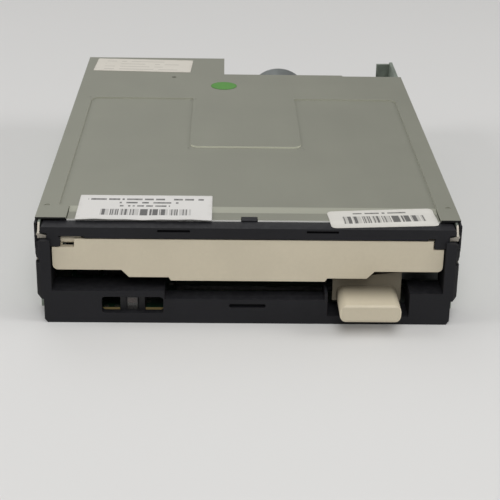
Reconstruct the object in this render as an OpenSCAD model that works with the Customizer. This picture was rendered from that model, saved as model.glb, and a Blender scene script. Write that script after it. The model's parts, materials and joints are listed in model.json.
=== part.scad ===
// 3.5-inch floppy disk drive, one inch high, as an assembly of separate pieces.
// Millimetres, X to the right, Y to the rear, Z up. The origin is the middle of the four bottom mounting
// holes on the underside. Depths in the modules are measured back from the bezel's lower front face.
// The drive is drawn empty: door shut, button in, disk carrier up, heads apart at the outermost track.

/* [Drive] */
// Width across the tray's walls
drive_w = 101.6; // [100:0.2:108]
// Height from the underside to the top of the cover
drive_h = 25.4; // [25.4:0.1:29]
// Length from the bezel's lower face to the rear edge
drive_len = 146.9; // [146.4:0.1:160]

/* [Mounting holes] */
// Bezel's lower face to the middle of the mounting holes
mount_setback = 66; // [64:0.5:70]
// Spacing of the bottom holes across the drive
mount_dx = 95; // [93:0.1:95.4]
// Spacing of the bottom and side holes along the drive
mount_dy = 90; // [80:0.1:92]
// Radius of a tapped hole's core
mount_hole_r = 1.25; // [1:0.05:1.5]
// Height of the side holes above the underside
side_hole_z = 5; // [4:0.1:5.2]
// Radius of the drawn collar round a tapped side hole
mount_collar_r = 2.1; // [1.9:0.1:2.2]
// Length of that collar inside the wall
mount_collar_h = 0.9; // [0.5:0.1:1.1]

/* [Tray] */
// Sheet thickness of the tray
tray_t = 1; // [0.8:0.1:1.1]
// Front edge of the tray's floor and walls
tray_front = 9.1; // [9.1:0.1:10]
// Drop from the top to where the walls step inwards under the cover
wall_step_drop = 5.6; // [5.3:0.1:6.4]
// Inward step of the upper wall
wall_inset = 0.6; // [0.6:0.05:0.8]
// Front end of the upper wall's fingers
finger_front = 1.5; // [1.3:0.1:3]
// Height of the fingers and their hooks
finger_h = 3.5; // [2.9:0.1:3.5]
// Thickness of the thinned fingers
finger_t = 0.5; // [0.4:0.05:0.6]
// Setback of a finger's upper corner
finger_slope = 1.5; // [0.5:0.1:2.5]
// Length of the hooks bent in from the fingers
hook_len = 2.3; // [1.5:0.1:2.4]
// Inward offset of the tongues behind the bezel's ears
tongue_inset = 1.2; // [1.1:0.05:1.3]
// Front end of the tongues
tongue_front = 2.6; // [2.6:0.1:4]
// Lower and upper edges of the tongues
tongue_z = [7.5, 18.9]; // [7:0.1:19]
// Height of the round lugs that hold the bezel
lug_z = 15.8; // [10:0.1:17]
// Depth of those lugs behind the bezel's face
lug_y = 3.7; // [3.7:0.1:7]
// Radius of those lugs
lug_r = 1.1; // [0.8:0.05:1.5]
// Width of the rear tab bent in from the right wall
rear_tab_w = 5.8; // [4:0.1:7]
// Drop of the rear tab's end below the top
rear_tab_drop = 1.2; // [0.8:0.1:5]

/* [Cover] */
// Sheet thickness of the cover
cover_t = 0.5; // [0.4:0.05:0.6]
// Front edge of the cover's corners
cover_front = 4.8; // [4.8:0.1:6]
// Rear edge of the right part, which is cut back from the rear edge
cover_right_cut = 19.9; // [18:0.1:24]
// Rear edge of the middle part, cut back over the head motor
cover_mid_cut = 18.9; // [17:0.1:22]
// Left side of that cut
cover_cut_x = -6; // [-8:0.5:0]
// Right side of the part over the head motor
cover_mid_x = 32; // [26:0.5:40]
// Height of the cover's side flanges
flange_h = 5.2; // [4.4:0.1:5.2]
// Depth of the embossed U
emboss_h = 0.4; // [0.2:0.05:0.45]
// Inset of the embossed U from the sides
emboss_inset = 4.8; // [3.8:0.1:10]
// Rear margin behind the embossed U
emboss_margin = 44.9; // [32:0.1:60]
// Half width of the raised block between the U's legs
emboss_block_half_w = 15.3; // [10:0.1:20]
// Front end of that block
emboss_block_front = 57.3; // [40:0.1:75]
// Radius of the U's corners
emboss_r = 2.5; // [1:0.1:4]
// Drop of the front lip below the U
lip_drop = 0.3; // [0.2:0.05:0.6]
// Insets of the lip's left and right ends from the sides
lip_inset = [7.3, 4.8]; // [4.4:0.1:9]
// Where the slope down to the lip starts
lip_slope_rear = 13.2; // [12:0.1:15]
// Where the slope ends
lip_slope_front = 10.5; // [9:0.1:11]
// Depth of the notch in the lip that the bezel's key fills
lip_notch = 2.4; // [1.5:0.1:3]
// Front edge of the lip
lip_front = 5.5; // [5:0.1:7]

/* [Bezel] */
// Depth of the bezel
bezel_depth = 9; // [8.5:0.1:9]
// Height of the bezel's top below the cover's top
bezel_top_drop = 1; // [0.95:0.05:1.5]
// Height of the top bar
top_bar_h = 2.7; // [2.4:0.1:2.9]
// Setback of the top bar's face
top_bar_setback = 1; // [0.5:0.1:1.2]
// Inset of the bezel's sides below the ears
bezel_low_inset = 1.9; // [1.3:0.1:2.6]
// Height where the ears start
ear_z = 6.2; // [5:0.1:7]
// Narrowing of the ears at the front face
ear_taper = 1.4; // [0.5:0.1:2]
// Depth over which the ears widen
ear_taper_y = 3; // [1:0.1:4]
// Thickness of an arm beside the door opening
arm_t = 3.85; // [3.7:0.05:4]
// Top of the left block of the lower bar
left_block_z = 8.4; // [7.9:0.1:8.6]
// Top of the right block
right_block_z = 8.2; // [7.8:0.1:8.6]
// Top of the bar in the finger notch
notch_z = 6.35; // [5.5:0.05:7]
// Left and right ends of the finger notch
notch_x = [-20, 18.5]; // [-22:0.1:18.6]
// Left and right ends of the button recess
recess_x = [19.2, 39]; // [19:0.1:40]
// Bottom of the button recess
recess_z = 2.1; // [1.5:0.1:3]
// Wall thickness of the mouldings
wall = 1.2; // [1:0.05:1.4]
// Left and right ends of the lamp window
lamp_x = [-35.1, -20.3]; // [-38:0.1:-20]
// Bottom and top of the lamp window
lamp_z = [2.6, 6.9]; // [2:0.1:7.2]
// Corner radius of the lamp window
lamp_r = 0.8; // [0.3:0.1:1.5]

/* [Dust door] */
// Gap between the door's ends and the arms
door_side_gap = 0.35; // [0.3:0.05:0.6]
// Thickness of the door
door_t = 1.6; // [1.2:0.1:1.8]
// Setback of the door's face
door_setback = 1.2; // [1.1:0.1:1.3]
// Bottom edge at the sides, beside the middle and in the middle
door_edges = [13.45, 11.6, 10.75]; // [10.7:0.05:14]
// Half widths where the bottom edge steps
door_steps = [30.3, 28.5, 19, 18.5]; // [17:0.1:32]
// Corner radius at the bottom
door_r = 1.3; // [0.5:0.1:2]
// Widths cut from the left and right of the door's upper part
door_top_cut = [5.3, 2.6]; // [2.5:0.1:6]
// Drop of the hinge's axis below the door's top
hinge_drop = 0.55; // [0.4:0.05:1]
// Radius of the hinge barrel
barrel_r = 1; // [0.9:0.05:1]
// Radius of the hinge pins
hinge_r = 0.75; // [0.6:0.05:0.8]
// Length of a hinge pin beyond the door
hinge_len = 1; // [0.8:0.05:1]

/* [Eject mechanism] */
// Left and right sides of the button
button_x = [21.6, 36.2]; // [21:0.1:37]
// Bottom and top of the button
button_z = [4.1, 8.6]; // [3.5:0.1:9.2]
// Reach of the button in front of the bezel
button_reach = 7.6; // [5:0.1:10]
// Rounding of the button's long edges
button_r = 2; // [0.8:0.1:2.2]
// Rounding of the button's front edges
button_edge_r = 0.7; // [0.3:0.05:1]
// Heights of the shoulder plate's left and right ends
shoulder_z = [10.2, 12.2]; // [9.6:0.1:12.2]
// Travel of the slide and button
eject_travel = 6.5; // [5:0.1:6.5]
// Drop of the disk carrier
carrier_drop = 3.5; // [3:0.1:3.5]
// Sheet thickness of the slide
slide_t = 0.8; // [0.6:0.1:1]
// Gap between the tray's wall and the slide
slide_gap = 1.6; // [1.5:0.1:1.8]
// Height of the slide's top face
slide_top = 17.8; // [17.8:0.1:18.5]
// Lower edge of the slide's walls
slide_z = 7; // [7:0.1:7.5]
// Front end of the slide
slide_front = 24; // [22:0.5:26]
// Margin behind the slide and the carrier
slide_margin = 46.9; // [45:0.1:50]
// Sheet thickness of the disk carrier
carrier_t = 0.8; // [0.6:0.1:0.9]
// Gap between the slide's wall and the carrier
carrier_gap = 1.3; // [1.1:0.1:1.5]
// Bottom and top of the carrier's section
carrier_z = [10.2, 15.5]; // [10:0.1:15.6]
// Front end of the carrier
carrier_front = 17.5; // [17:0.1:20]
// Width of the ledges that the disk slides on
ledge_w = 5; // [3:0.1:5]
// Depth of the front guide pins behind the bezel's face
pin_front = 34; // [32:0.5:36]
// Distance of the rear guide pins from the carrier's rear end
pin_inset = 12; // [10:0.5:14]
// Height of the guide pins
pin_z = 13.2; // [13:0.1:13.4]
// Radius of the guide pins
pin_r = 1.2; // [1:0.05:1.3]
// Radial clearance of a sliding fit
slide_fit = 0.1; // [0.05:0.01:0.12]
// Distances of the eject lever's pivot from the carrier's side and rear end
lever_inset = [5.3, 15]; // [4:0.1:16]
// Radius from the pivot to the shutter finger
lever_reach = 24; // [22:0.5:25]
// Swing of the lever
lever_swing = 60; // [40:1:60]
// Radius of the shutter finger
finger_r = 1; // [0.8:0.05:1.2]

/* [Spindle motor] */
// Distance of the spindle from the drive's rear edge
spindle_inset = 90.9; // [90.6:0.1:93]
// Radius of the rotor's cup
rotor_r = 19; // [17:0.1:19.5]
// Height of the rotor's cup
rotor_h = 4; // [3.6:0.1:4]
// Sheet thickness of the cup
rotor_t = 0.8; // [0.6:0.1:0.8]
// Radial thickness of the ring magnet
magnet_t = 1.6; // [1:0.1:2]
// Gap between the magnet and the stator
air_gap = 0.8; // [0.5:0.1:1.2]
// Number of stator poles
poles = 12; // [9:3:15]
// Radius of the spindle shaft
shaft_r = 2; // [1.5:0.05:2.2]
// Running clearance of the shaft
shaft_fit = 0.03; // [0.01:0.01:0.05]
// Outer radius of the bearing sleeve
sleeve_r = 4.5; // [4:0.1:5]
// Radius of the hub table
hub_r = 13; // [12:0.1:14]
// Thickness of the hub table
hub_t = 0.8; // [0.6:0.1:0.9]
// Radius at which the drive pin stands
drive_pin_at = 10; // [9:0.1:10.5]
// Radius of the drive pin
drive_pin_r = 1.5; // [1:0.1:1.5]

/* [Head drive] */
// Radius of the outermost track
track_zero_r = 39.5; // [39:0.1:40]
// Travel of the heads from the outermost to the innermost track
head_travel = 14.8125; // [13:0.0625:14.9]
// Distance between the guide rods
rod_dx = 30; // [29:0.1:30.4]
// Radius of the guide rods
rod_r = 1.25; // [1:0.05:1.25]
// Height of the guide rods
rod_z = 5.2; // [5.1:0.05:5.3]
// Distance of the lead screw from the middle
screw_x = 12; // [11.9:0.1:12.4]
// Height of the lead screw
screw_z = 13.4; // [13:0.1:13.6]
// Travel of the heads for one turn of the screw
screw_lead = 3.75; // [3:0.05:4.5]
// Radius of the screw's round section
screw_r = 1.3; // [1.1:0.05:1.35]
// Offset of that section from the axis, which makes the thread
screw_offset = 0.4; // [0.3:0.05:0.45]
// Radius of the head motor's can
stepper_r = 10; // [9:0.1:10]
// Length of the head motor's can
stepper_len = 16.5; // [14:0.1:17]
// Length of the upper arm from its hinge to the head
arm_len = 25; // [24.5:0.1:25.5]
// Height of the upper arm's hinge
arm_hinge_z = 12.5; // [12.3:0.1:12.7]
// Angle by which the upper arm is lifted
arm_lift = 12.2; // [10:0.1:12.5]
// Radius of the arm's hinge pin
arm_pin_r = 0.9; // [0.7:0.05:1]

/* [Boards] */
// Thickness of the boards
board_t = 1; // [0.8:0.1:1]
// Height of the standoffs under the boards
standoff_h = 0.7; // [0.6:0.1:0.7]
// Pitch of the signal pins
pin_pitch = 2.54; // [2:0.01:2.6]
// Columns of signal pins
pin_cols = 17; // [10:1:17]
// Gap between the signal header and the left wall
header_gap = 0.8; // [0.6:0.1:3]
// Gap between the power connector and the rear tab
power_gap = 2.3; // [0.8:0.1:4.5]

/* [Hidden] */
$fn = 48;
half_w = drive_w / 2;
wall_in = half_w - tray_t;
upper_out = half_w - wall_inset;
upper_in = upper_out - tray_t;
cover_under = drive_h - cover_t;
wall_step_z = drive_h - wall_step_drop;
finger_z = cover_under - finger_h;
rear_tab_h = drive_h - rear_tab_drop;
flange_z = drive_h - flange_h;
emboss_half_w = half_w - emboss_inset;
emboss_rear = drive_len - emboss_margin;
lip_x = [-half_w + lip_inset[0], half_w - lip_inset[1]];
tray_rear = drive_len - cover_t - 0.2;
slide_out = wall_in - slide_gap;
slide_in = slide_out - slide_t;
carrier_out = slide_in - carrier_gap;
carrier_in = carrier_out - carrier_t;
carrier_plate_z = carrier_z[1] - carrier_t;
slide_y = [slide_front, drive_len - slide_margin];
carrier_y = [carrier_front, slide_y[1]];
pin_y = [pin_front, carrier_y[1] - pin_inset];
lever_at = [carrier_in - lever_inset[0], carrier_y[1] - lever_inset[1]];
spindle_y = drive_len - spindle_inset;
clip_y = [40, slide_y[1]];
clip_half = 3;
clip_clear = 0.3;
clip_z = [drive_h - 3, drive_h - 2.2];
guide_y = [46, slide_y[1] - 16];
guide_len = 5;
// Overlap of pieces of one sheet or moulding
lap = 0.1;
slide_plate_z = slide_top - slide_t;
// Front and rear depths of the mounting holes
mount_y = [mount_setback - mount_dy / 2, mount_setback + mount_dy / 2];

// Heights of the bezel and the door
bezel_top = drive_h - bezel_top_drop;
top_bar_z = bezel_top - top_bar_h;
bezel_low_half_w = half_w - bezel_low_inset;
arm_in = half_w - arm_t;
door_half_w = arm_in - door_side_gap;
door_top_x = [-door_half_w + door_top_cut[0], door_half_w - door_top_cut[1]];
door_gap = 0.3;
door_top = top_bar_z - door_gap;
hinge_z = door_top - hinge_drop;
hinge_y = door_setback + door_t + 0.2;
door_shoulder = hinge_z - 1.6;
hinge_lug_t = 1;
lip_top = drive_h - emboss_h - lip_drop;
lip_under = lip_top - cover_t;
notch_depth = 5;
block_depth = 8;
face_t = 2;
hook_clear = 0.2;
key_x = [-1.6, 2];

// Lamp and its holder
lamp_mid = -27.85;
lamp_body_x = [lamp_mid - 1.25, lamp_mid + 1.25];
lamp_body_z = [2.2, 5.8];
holder_x = [lamp_mid - 3, lamp_mid + 3];
lead_half = 0.25;

// Heights of the boards and what stands on them
board_z = tray_t + standoff_h;
board_top = board_z + board_t;
board_rear = drive_len - 1.4;
board_half_w = wall_in - 5.2;
rotor_clear = 0.7;
rotor_z = board_top + rotor_clear;
rotor_top = rotor_z + rotor_h;
hub_top = rotor_top + hub_t;
shaft_top = hub_top + 1.8;
magnet_out = rotor_r - rotor_t;
magnet_in = magnet_out - magnet_t;
stator_r = magnet_in - air_gap;
sleeve_flange_r = sleeve_r + 2;
sleeve_flange_t = 0.6;
sleeve_top = rotor_top - rotor_t - 0.3;
sleeve_floor = board_z + 0.4;

// Screws
screw_shank_r = 1;
screw_head_r = 1.8;
screw_head_h = 1.1;
screw_hole_r = 1.05;
boss_r = 2.4;
motor_screw_at = [[13.8 - half_w, 38], [13.8 - half_w, spindle_y + 16], [31.5, spindle_y + 6]];
board_screw_at = [[9.8 - half_w, spindle_y + 39], [23.8 - half_w, drive_len - 16.5],
    [half_w - 23.8, drive_len - 8.5]];

// Head drive
head_y = spindle_y + track_zero_r;
carriage_front = head_y - 4.5;
carriage_rear = head_y + 27;
carriage_z = [rod_z - 1.8, rod_z + 2];
carriage_clear = 0.3;
bearing_front = head_y + 2.1;
rear_block_front = head_y + 16.5;
rear_block_half_w = 9.4;
rear_block_z = 10.4;
ear_half_w = 6.4;
arm_hinge_y = head_y + arm_len;
follower_y = head_y + 24.5;
lower_head_top = hub_top + 1.05;
head_gap = 0.3;
stepper_front = drive_len - 19.4;
bracket_t = 1.5;
bracket_side_x = screw_x + 6;
clamp_len = 2.4;
rod_front = bearing_front - head_travel - carriage_clear - clamp_len;
rod_rear = stepper_front - bracket_t - 0.1;
screw_front = head_y + 5.5;
journal_r = 1;
journal_fit = 0.04;

// Springs
wire_r = 0.2;
fine_wire_r = 0.15;
slide_spring_x = slide_in - 4.4;
slide_spring_z = 4.6;
slide_spring_y = [44, 62];
slide_spring_r = 1.5;
slide_spring_curls = 12;
lever_spring_r = 2.8;
lever_spring_curls = 4;
door_spring_curls = 4;
door_spring_r = 1;
door_spring_at = [7, top_bar_z];
arm_spring_curls = 5.5;
arm_spring_r = 1.6;

// Switches, as places beside the middle and depth
switch_y = 24;
switch_x = [half_w - 10.3, 10.3 - half_w, 17.3 - half_w];
switch_size = [5.5, 4.5, 4.2];
plunger_r = 1;
plunger_top = 8.4;
plunger_travel = 1;

// Colours
STEEL = "#8a8b80";
ZINC = "#a9adb0";
BLACK = "#27272a";
CREAM = "#bab098";
BRASS = "#b8924a";
COPPER = "#b0622f";
MASK = "#3c6b3a";
CHIP = "#1e1f21";
POLYMER = "#2d3b3a";

// Shared shapes

// Moves depths measured from the bezel's face into the frame of the mounting holes
module from_front() {
    translate([0, -mount_setback, 0]) children();
}

// Block between two limits on each axis
module span(x, y, z) {
    translate([x[0], y[0], z[0]]) cube([x[1] - x[0], y[1] - y[0], z[1] - z[0]]);
}

// Outline in X and Z, extruded along Y
module along_y(y) {
    translate([0, y[1], 0]) rotate([90, 0, 0]) linear_extrude(y[1] - y[0]) children();
}

// Outline in Y and Z, extruded along X
module along_x(x) {
    translate([x[0], 0, 0]) rotate([90, 0, 90]) linear_extrude(x[1] - x[0]) children();
}

// Outline in X and Y, extruded upwards
module along_z(z) {
    translate([0, 0, z[0]]) linear_extrude(z[1] - z[0]) children();
}

// Round bar or bore along X at a depth and height
module bar_x(x, y, z, r) {
    translate([x[0], y, z]) rotate([0, 90, 0]) cylinder(h = x[1] - x[0], r = r);
}

// Round bar or bore along Y at a place and height
module bar_y(x, y, z, r) {
    translate([x, y[1], z]) rotate([90, 0, 0]) cylinder(h = y[1] - y[0], r = r);
}

// Round bar or bore along Z
module bar_z(x, y, z, r) {
    translate([x, y, z[0]]) cylinder(h = z[1] - z[0], r = r);
}

module both_sides() {
    children();
    mirror([1, 0, 0]) children();
}

// Rectangle with round corners
module round_rect(x, y, r) {
    translate([x[0] + r, y[0]]) square([x[1] - x[0] - 2 * r, y[1] - y[0]]);
    translate([x[0], y[0] + r]) square([x[1] - x[0], y[1] - y[0] - 2 * r]);
    for (cx = [x[0] + r, x[1] - r], cy = [y[0] + r, y[1] - r])
        translate([cx, cy]) circle(r);
}

// Straight slot with round ends
module slot(from, to, r) {
    step = to - from;
    for (end = [from, to])
        translate(end) circle(r);
    translate(from) rotate(atan2(step.y, step.x)) translate([0, -r]) square([norm(step), 2 * r]);
}

// Pan-head screw with a cross recess, standing on a seat
module pan_screw(at, seat, depth, head_r = screw_head_r) {
    recess = [1.2 * head_r, 0.5, screw_head_h];
    difference() {
        union() {
            bar_z(at.x, at.y, [seat, seat + screw_head_h], head_r);
            bar_z(at.x, at.y, [seat - depth, seat + 0.1], screw_shank_r);
        }
        for (turn = [0, 90])
            translate([at.x, at.y, seat + screw_head_h]) rotate(turn) cube(recess, center = true);
    }
}

// Wire springs

function unit(v) = v / norm(v);
function flat_to(v, t) = unit(v - (v * t) * t);

function tangents(p) =
    [for (i = [0 : len(p) - 1]) unit(p[min(i + 1, len(p) - 1)] - p[max(i - 1, 0)])];

// Carries one normal along the wire without twisting it
function normals(t, start) =
    [for (i = 0, n = flat_to(start, t[0]); i < len(t); i = i + 1, n = i < len(t) ? flat_to(n, t[i]) : n) n];

// Points of a coil about Z, eight to a curl
function coil(r, pitch, curls, from = 0) =
    [for (i = [0 : 8 * curls]) [r * cos(from + 45 * i), r * sin(from + 45 * i), pitch * i / 8]];

// Least free gap between curls of a wire, measured on its points
function self_gap(p, r) =
    let (last = len(p) - 1)
        min([for (i = [0 : last]) for (j = [i + 6 : last]) if (j <= last) norm(p[i] - p[j])]) - 2 * r;

// Six-sided tube through points
module wire(p, r, start) {
    sides = 6;
    t = tangents(p);
    n = normals(t, start);
    rings = [
        for (i = [0 : len(p) - 1], k = [0 : sides - 1])
            p[i] + r * (cos(60 * k) * n[i] + sin(60 * k) * cross(t[i], n[i]))
    ];
    last = (len(p) - 1) * sides;
    walls = [
        for (i = [0 : len(p) - 2], k = [0 : sides - 1])
            let (a = i * sides + k, b = i * sides + (k + 1) % sides)
                each [[a, a + sides, b], [b, a + sides, b + sides]]
    ];
    caps = [for (k = [1 : sides - 2]) each [[0, k, k + 1], [last, last + k + 1, last + k]]];
    polyhedron(rings, concat(walls, caps), convexity = 10);
}

// Fixed sheet metal and mouldings

// Right half of the tray's section
module tray_section() {
    square([half_w, tray_t]);
    translate([wall_in, 0]) square([tray_t, wall_step_z]);
    translate([upper_in, wall_step_z - wall_inset])
        square([tray_t, cover_under - wall_step_z + wall_inset]);
}

// Openings in the floor under the boards, which leave a frame for the screws
module floor_openings() {
    rear_y = [drive_len - 12.5, drive_len - 4.5];
    round_rect([-32, 27], [17, spindle_y + 20], 3);
    round_rect([-37, -24], [drive_len - 46.9, drive_len - 22.9], 2);
    round_rect([header_x - 18, header_x + 16], rear_y, 2);
    round_rect([power_x - power_half_w, power_x + power_half_w], rear_y, 2);
}

// Forward part of one wall: finger with its hook, and tongue with its lug
module tray_front_end() {
    middle = (upper_in + upper_out) / 2;
    rear = tray_front + 1;
    along_x([middle - finger_t / 2, middle + finger_t / 2]) polygon([
        [finger_front, finger_z],
        [rear, finger_z],
        [rear, cover_under],
        [finger_front + finger_slope, cover_under],
        [finger_front, finger_z + 1.2]
    ]);
    along_y([finger_front, finger_front + 4.5]) polygon([
        [upper_out - hook_len, finger_z],
        [upper_out - 1, finger_z],
        [upper_out, finger_z + 0.8],
        [upper_out, finger_z + 1.3],
        [upper_out - hook_len, finger_z + 0.8]
    ]);
    tongue = [half_w - tongue_inset - tray_t, half_w - tongue_inset];
    span(tongue, [tongue_front, tray_front + 1], tongue_z);
    span([tongue[0], half_w], [tray_front, tray_front + tray_t], tongue_z);
    bar_x([tongue[1] - lap, half_w - 0.3], lug_y, lug_z, lug_r);
}

// Pieces bent or drawn inwards from one wall
module tray_wall_forms() {
    guide_z = [slide_z - slide_fit - tray_t, slide_z - slide_fit];
    for (y = mount_y)
        bar_x([wall_in - mount_collar_h, wall_in + lap], y, side_hole_z, mount_collar_r);
    for (y = guide_y)
        span([slide_in - 0.4, wall_in + lap], [y, y + guide_len], guide_z);
    span([slide_spring_x - 1.2, slide_spring_x + 1.2], [slide_spring_y[0] - tray_t, slide_spring_y[0]],
        [0, slide_spring_z + 1.6]);
    for (y = clip_y)
        span([upper_out - lap, upper_out + 0.4], [y - clip_half, y + clip_half], clip_z);
}

module chassis_tray() {
    color(STEEL) from_front() difference() {
        union() {
            both_sides() {
                along_y([tray_front, tray_rear]) tray_section();
                tray_front_end();
                tray_wall_forms();
            }
            span([half_w - tray_t, half_w], [tray_rear - 1, drive_len], [0, wall_step_z]);
            span([half_w - rear_tab_w, half_w], [drive_len - tray_t, drive_len], [0, wall_step_z]);
            span([half_w - rear_tab_w, upper_out], [drive_len - tray_t, drive_len], [0, rear_tab_h]);
            for (at = concat(motor_screw_at, board_screw_at))
                bar_z(at.x, at.y, [0, board_z], boss_r);
        }
        along_z([-1, tray_t + 0.01]) floor_openings();
        both_sides() {
            for (y = mount_y) {
                bar_x([wall_in - 2, half_w + 1], y, side_hole_z, mount_hole_r);
                bar_z(mount_dx / 2, y, [-1, tray_t + 1], mount_hole_r);
            }
            for (y = pin_y)
                along_x([wall_in - 0.5, half_w + 1])
                    slot([y, pin_z], [y, pin_z - carrier_drop], pin_r + slide_fit);
        }
        for (at = concat(motor_screw_at, board_screw_at))
            bar_z(at.x, at.y, [-1, board_z + 1], screw_hole_r);
        for (at = concat(clamp_screw_at(), bracket_screw_at()))
            bar_z(at.x, at.y, [-1, tray_t + 1], screw_hole_r);
    }
}

// Plan of the whole cover, with its rear edge cut back on the right
module cover_plan() {
    polygon([
        [-half_w, cover_front],
        [half_w, cover_front],
        [half_w, drive_len - cover_right_cut],
        [cover_mid_x, drive_len - cover_right_cut],
        [cover_mid_x, drive_len - cover_mid_cut],
        [cover_cut_x, drive_len - cover_mid_cut],
        [cover_cut_x, drive_len],
        [-half_w, drive_len]
    ]);
}

// Plan of the embossed U, grown by a margin where it laps under the higher sheet
module emboss_plan(margin) {
    grow = [-margin, margin];
    difference() {
        union() {
            round_rect([-emboss_half_w, emboss_half_w] + grow,
                [lip_slope_rear, emboss_rear] + grow, emboss_r);
            translate([-emboss_half_w - margin, lip_slope_rear])
                square([2 * (emboss_half_w + margin), 2 * emboss_r]);
        }
        round_rect([-emboss_block_half_w, emboss_block_half_w] - grow,
            [emboss_block_front + margin, emboss_rear + 10], emboss_r);
        translate([-60, lip_slope_rear - 10]) square([120, 10]);
    }
}

// Section of the slope and lip along Y
module lip_section() {
    u_top = drive_h - emboss_h;
    polygon([
        [lip_slope_rear + 1, u_top],
        [lip_slope_rear, u_top],
        [lip_slope_front, lip_top],
        [lip_front, lip_top],
        [lip_front, lip_under],
        [lip_slope_front, lip_under],
        [lip_slope_rear, u_top - cover_t],
        [lip_slope_rear + 1, u_top - cover_t]
    ]);
}

module top_cover() {
    step_lap = 0.5;
    clip_hole = [-clip_half - clip_clear, clip_half + clip_clear];
    color(STEEL) from_front() difference() {
        union() {
            along_z([cover_under, drive_h]) difference() {
                cover_plan();
                emboss_plan(0);
                translate([lip_x[0], 0]) square([lip_x[1] - lip_x[0], lip_slope_rear]);
            }
            along_z([cover_under - emboss_h, drive_h - emboss_h]) emboss_plan(step_lap);
            along_x([lip_x[0] + 0.1, lip_x[1] - 0.1]) lip_section();
            span([-half_w, -half_w + cover_t], [cover_front, drive_len], [flange_z, drive_h]);
            span([half_w - cover_t, half_w], [cover_front, drive_len - cover_right_cut], [flange_z, drive_h]);
            span([-half_w, cover_cut_x], [drive_len - cover_t, drive_len], [flange_z, drive_h]);
        }
        both_sides() for (y = clip_y)
            span([upper_out, half_w + 1], [y, y] + clip_hole, clip_z + [-clip_clear, clip_clear]);
        bar_z(-22, drive_len - 22.6, [cover_under - 1, drive_h + 1], 0.75);
        both_sides() bar_z(half_w - 2, 12.8, [drive_h - 0.2, drive_h + 1], 0.7);
        span(key_x + [-0.2, 0.2], [lip_front - 1, lip_front + lip_notch], [lip_under - 1, drive_h]);
    }
}

// Front view of the bezel's outline
module bezel_outline() {
    low = [[bezel_low_half_w - 0.7, 0], [bezel_low_half_w, 1], [bezel_low_half_w, ear_z]];
    ear = [[half_w, ear_z], [half_w, wall_step_z - 0.2], [half_w - 1.6, finger_z - hook_clear]];
    hook_in = upper_out - hook_len - hook_clear;
    bar_end = (upper_in + upper_out - finger_t) / 2 - 0.15;
    top = [[hook_in, finger_z - hook_clear], [hook_in, finger_z + 1.4], [bar_end, finger_z + 1.6],
        [bar_end, bezel_top - 0.4], [bar_end - 0.4, bezel_top]];
    right = concat(low, ear, top);
    left = [for (i = [len(right) - 1 : -1 : 0]) [-right[i].x, right[i].y]];
    polygon(concat(right, left));
}

// Plan of the bezel with its ears tapered at the front
module bezel_plan() {
    tip = half_w - ear_taper;
    polygon([[-tip, 0], [tip, 0], [half_w, ear_taper_y], [half_w, bezel_depth], [-half_w, bezel_depth],
        [-half_w, ear_taper_y]]);
}

// Front view of the door opening with the stepped top of the lower bar
module bezel_opening() {
    polygon([
        [-arm_in, top_bar_z],
        [-arm_in, left_block_z],
        [notch_x[0], left_block_z],
        [notch_x[0], notch_z],
        [notch_x[1], notch_z],
        [notch_x[1], right_block_z],
        [recess_x[0], right_block_z],
        [recess_x[0], recess_z],
        [recess_x[1], recess_z],
        [recess_x[1], right_block_z],
        [arm_in, right_block_z],
        [arm_in, top_bar_z]
    ]);
}

// Hollows behind the lower bar, open at the rear
module bezel_hollows() {
    rear = bezel_depth + 1;
    span([-arm_in + wall, notch_x[0] - wall], [face_t, rear], [wall, left_block_z - wall]);
    span([notch_x[0] - wall - 1, notch_x[1] - wall], [face_t, rear], [wall, notch_z - wall]);
    span([notch_x[0], notch_x[1]], [notch_depth, rear], [wall, left_block_z]);
    span([recess_x[1] + wall, arm_in - wall], [face_t, rear], [wall, right_block_z - wall]);
    span([-arm_in, arm_in], [block_depth, rear], [wall, top_bar_z]);
    span([-arm_in, arm_in], [4.6, rear], [top_bar_z - 1, lip_under - 1]);
}

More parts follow.
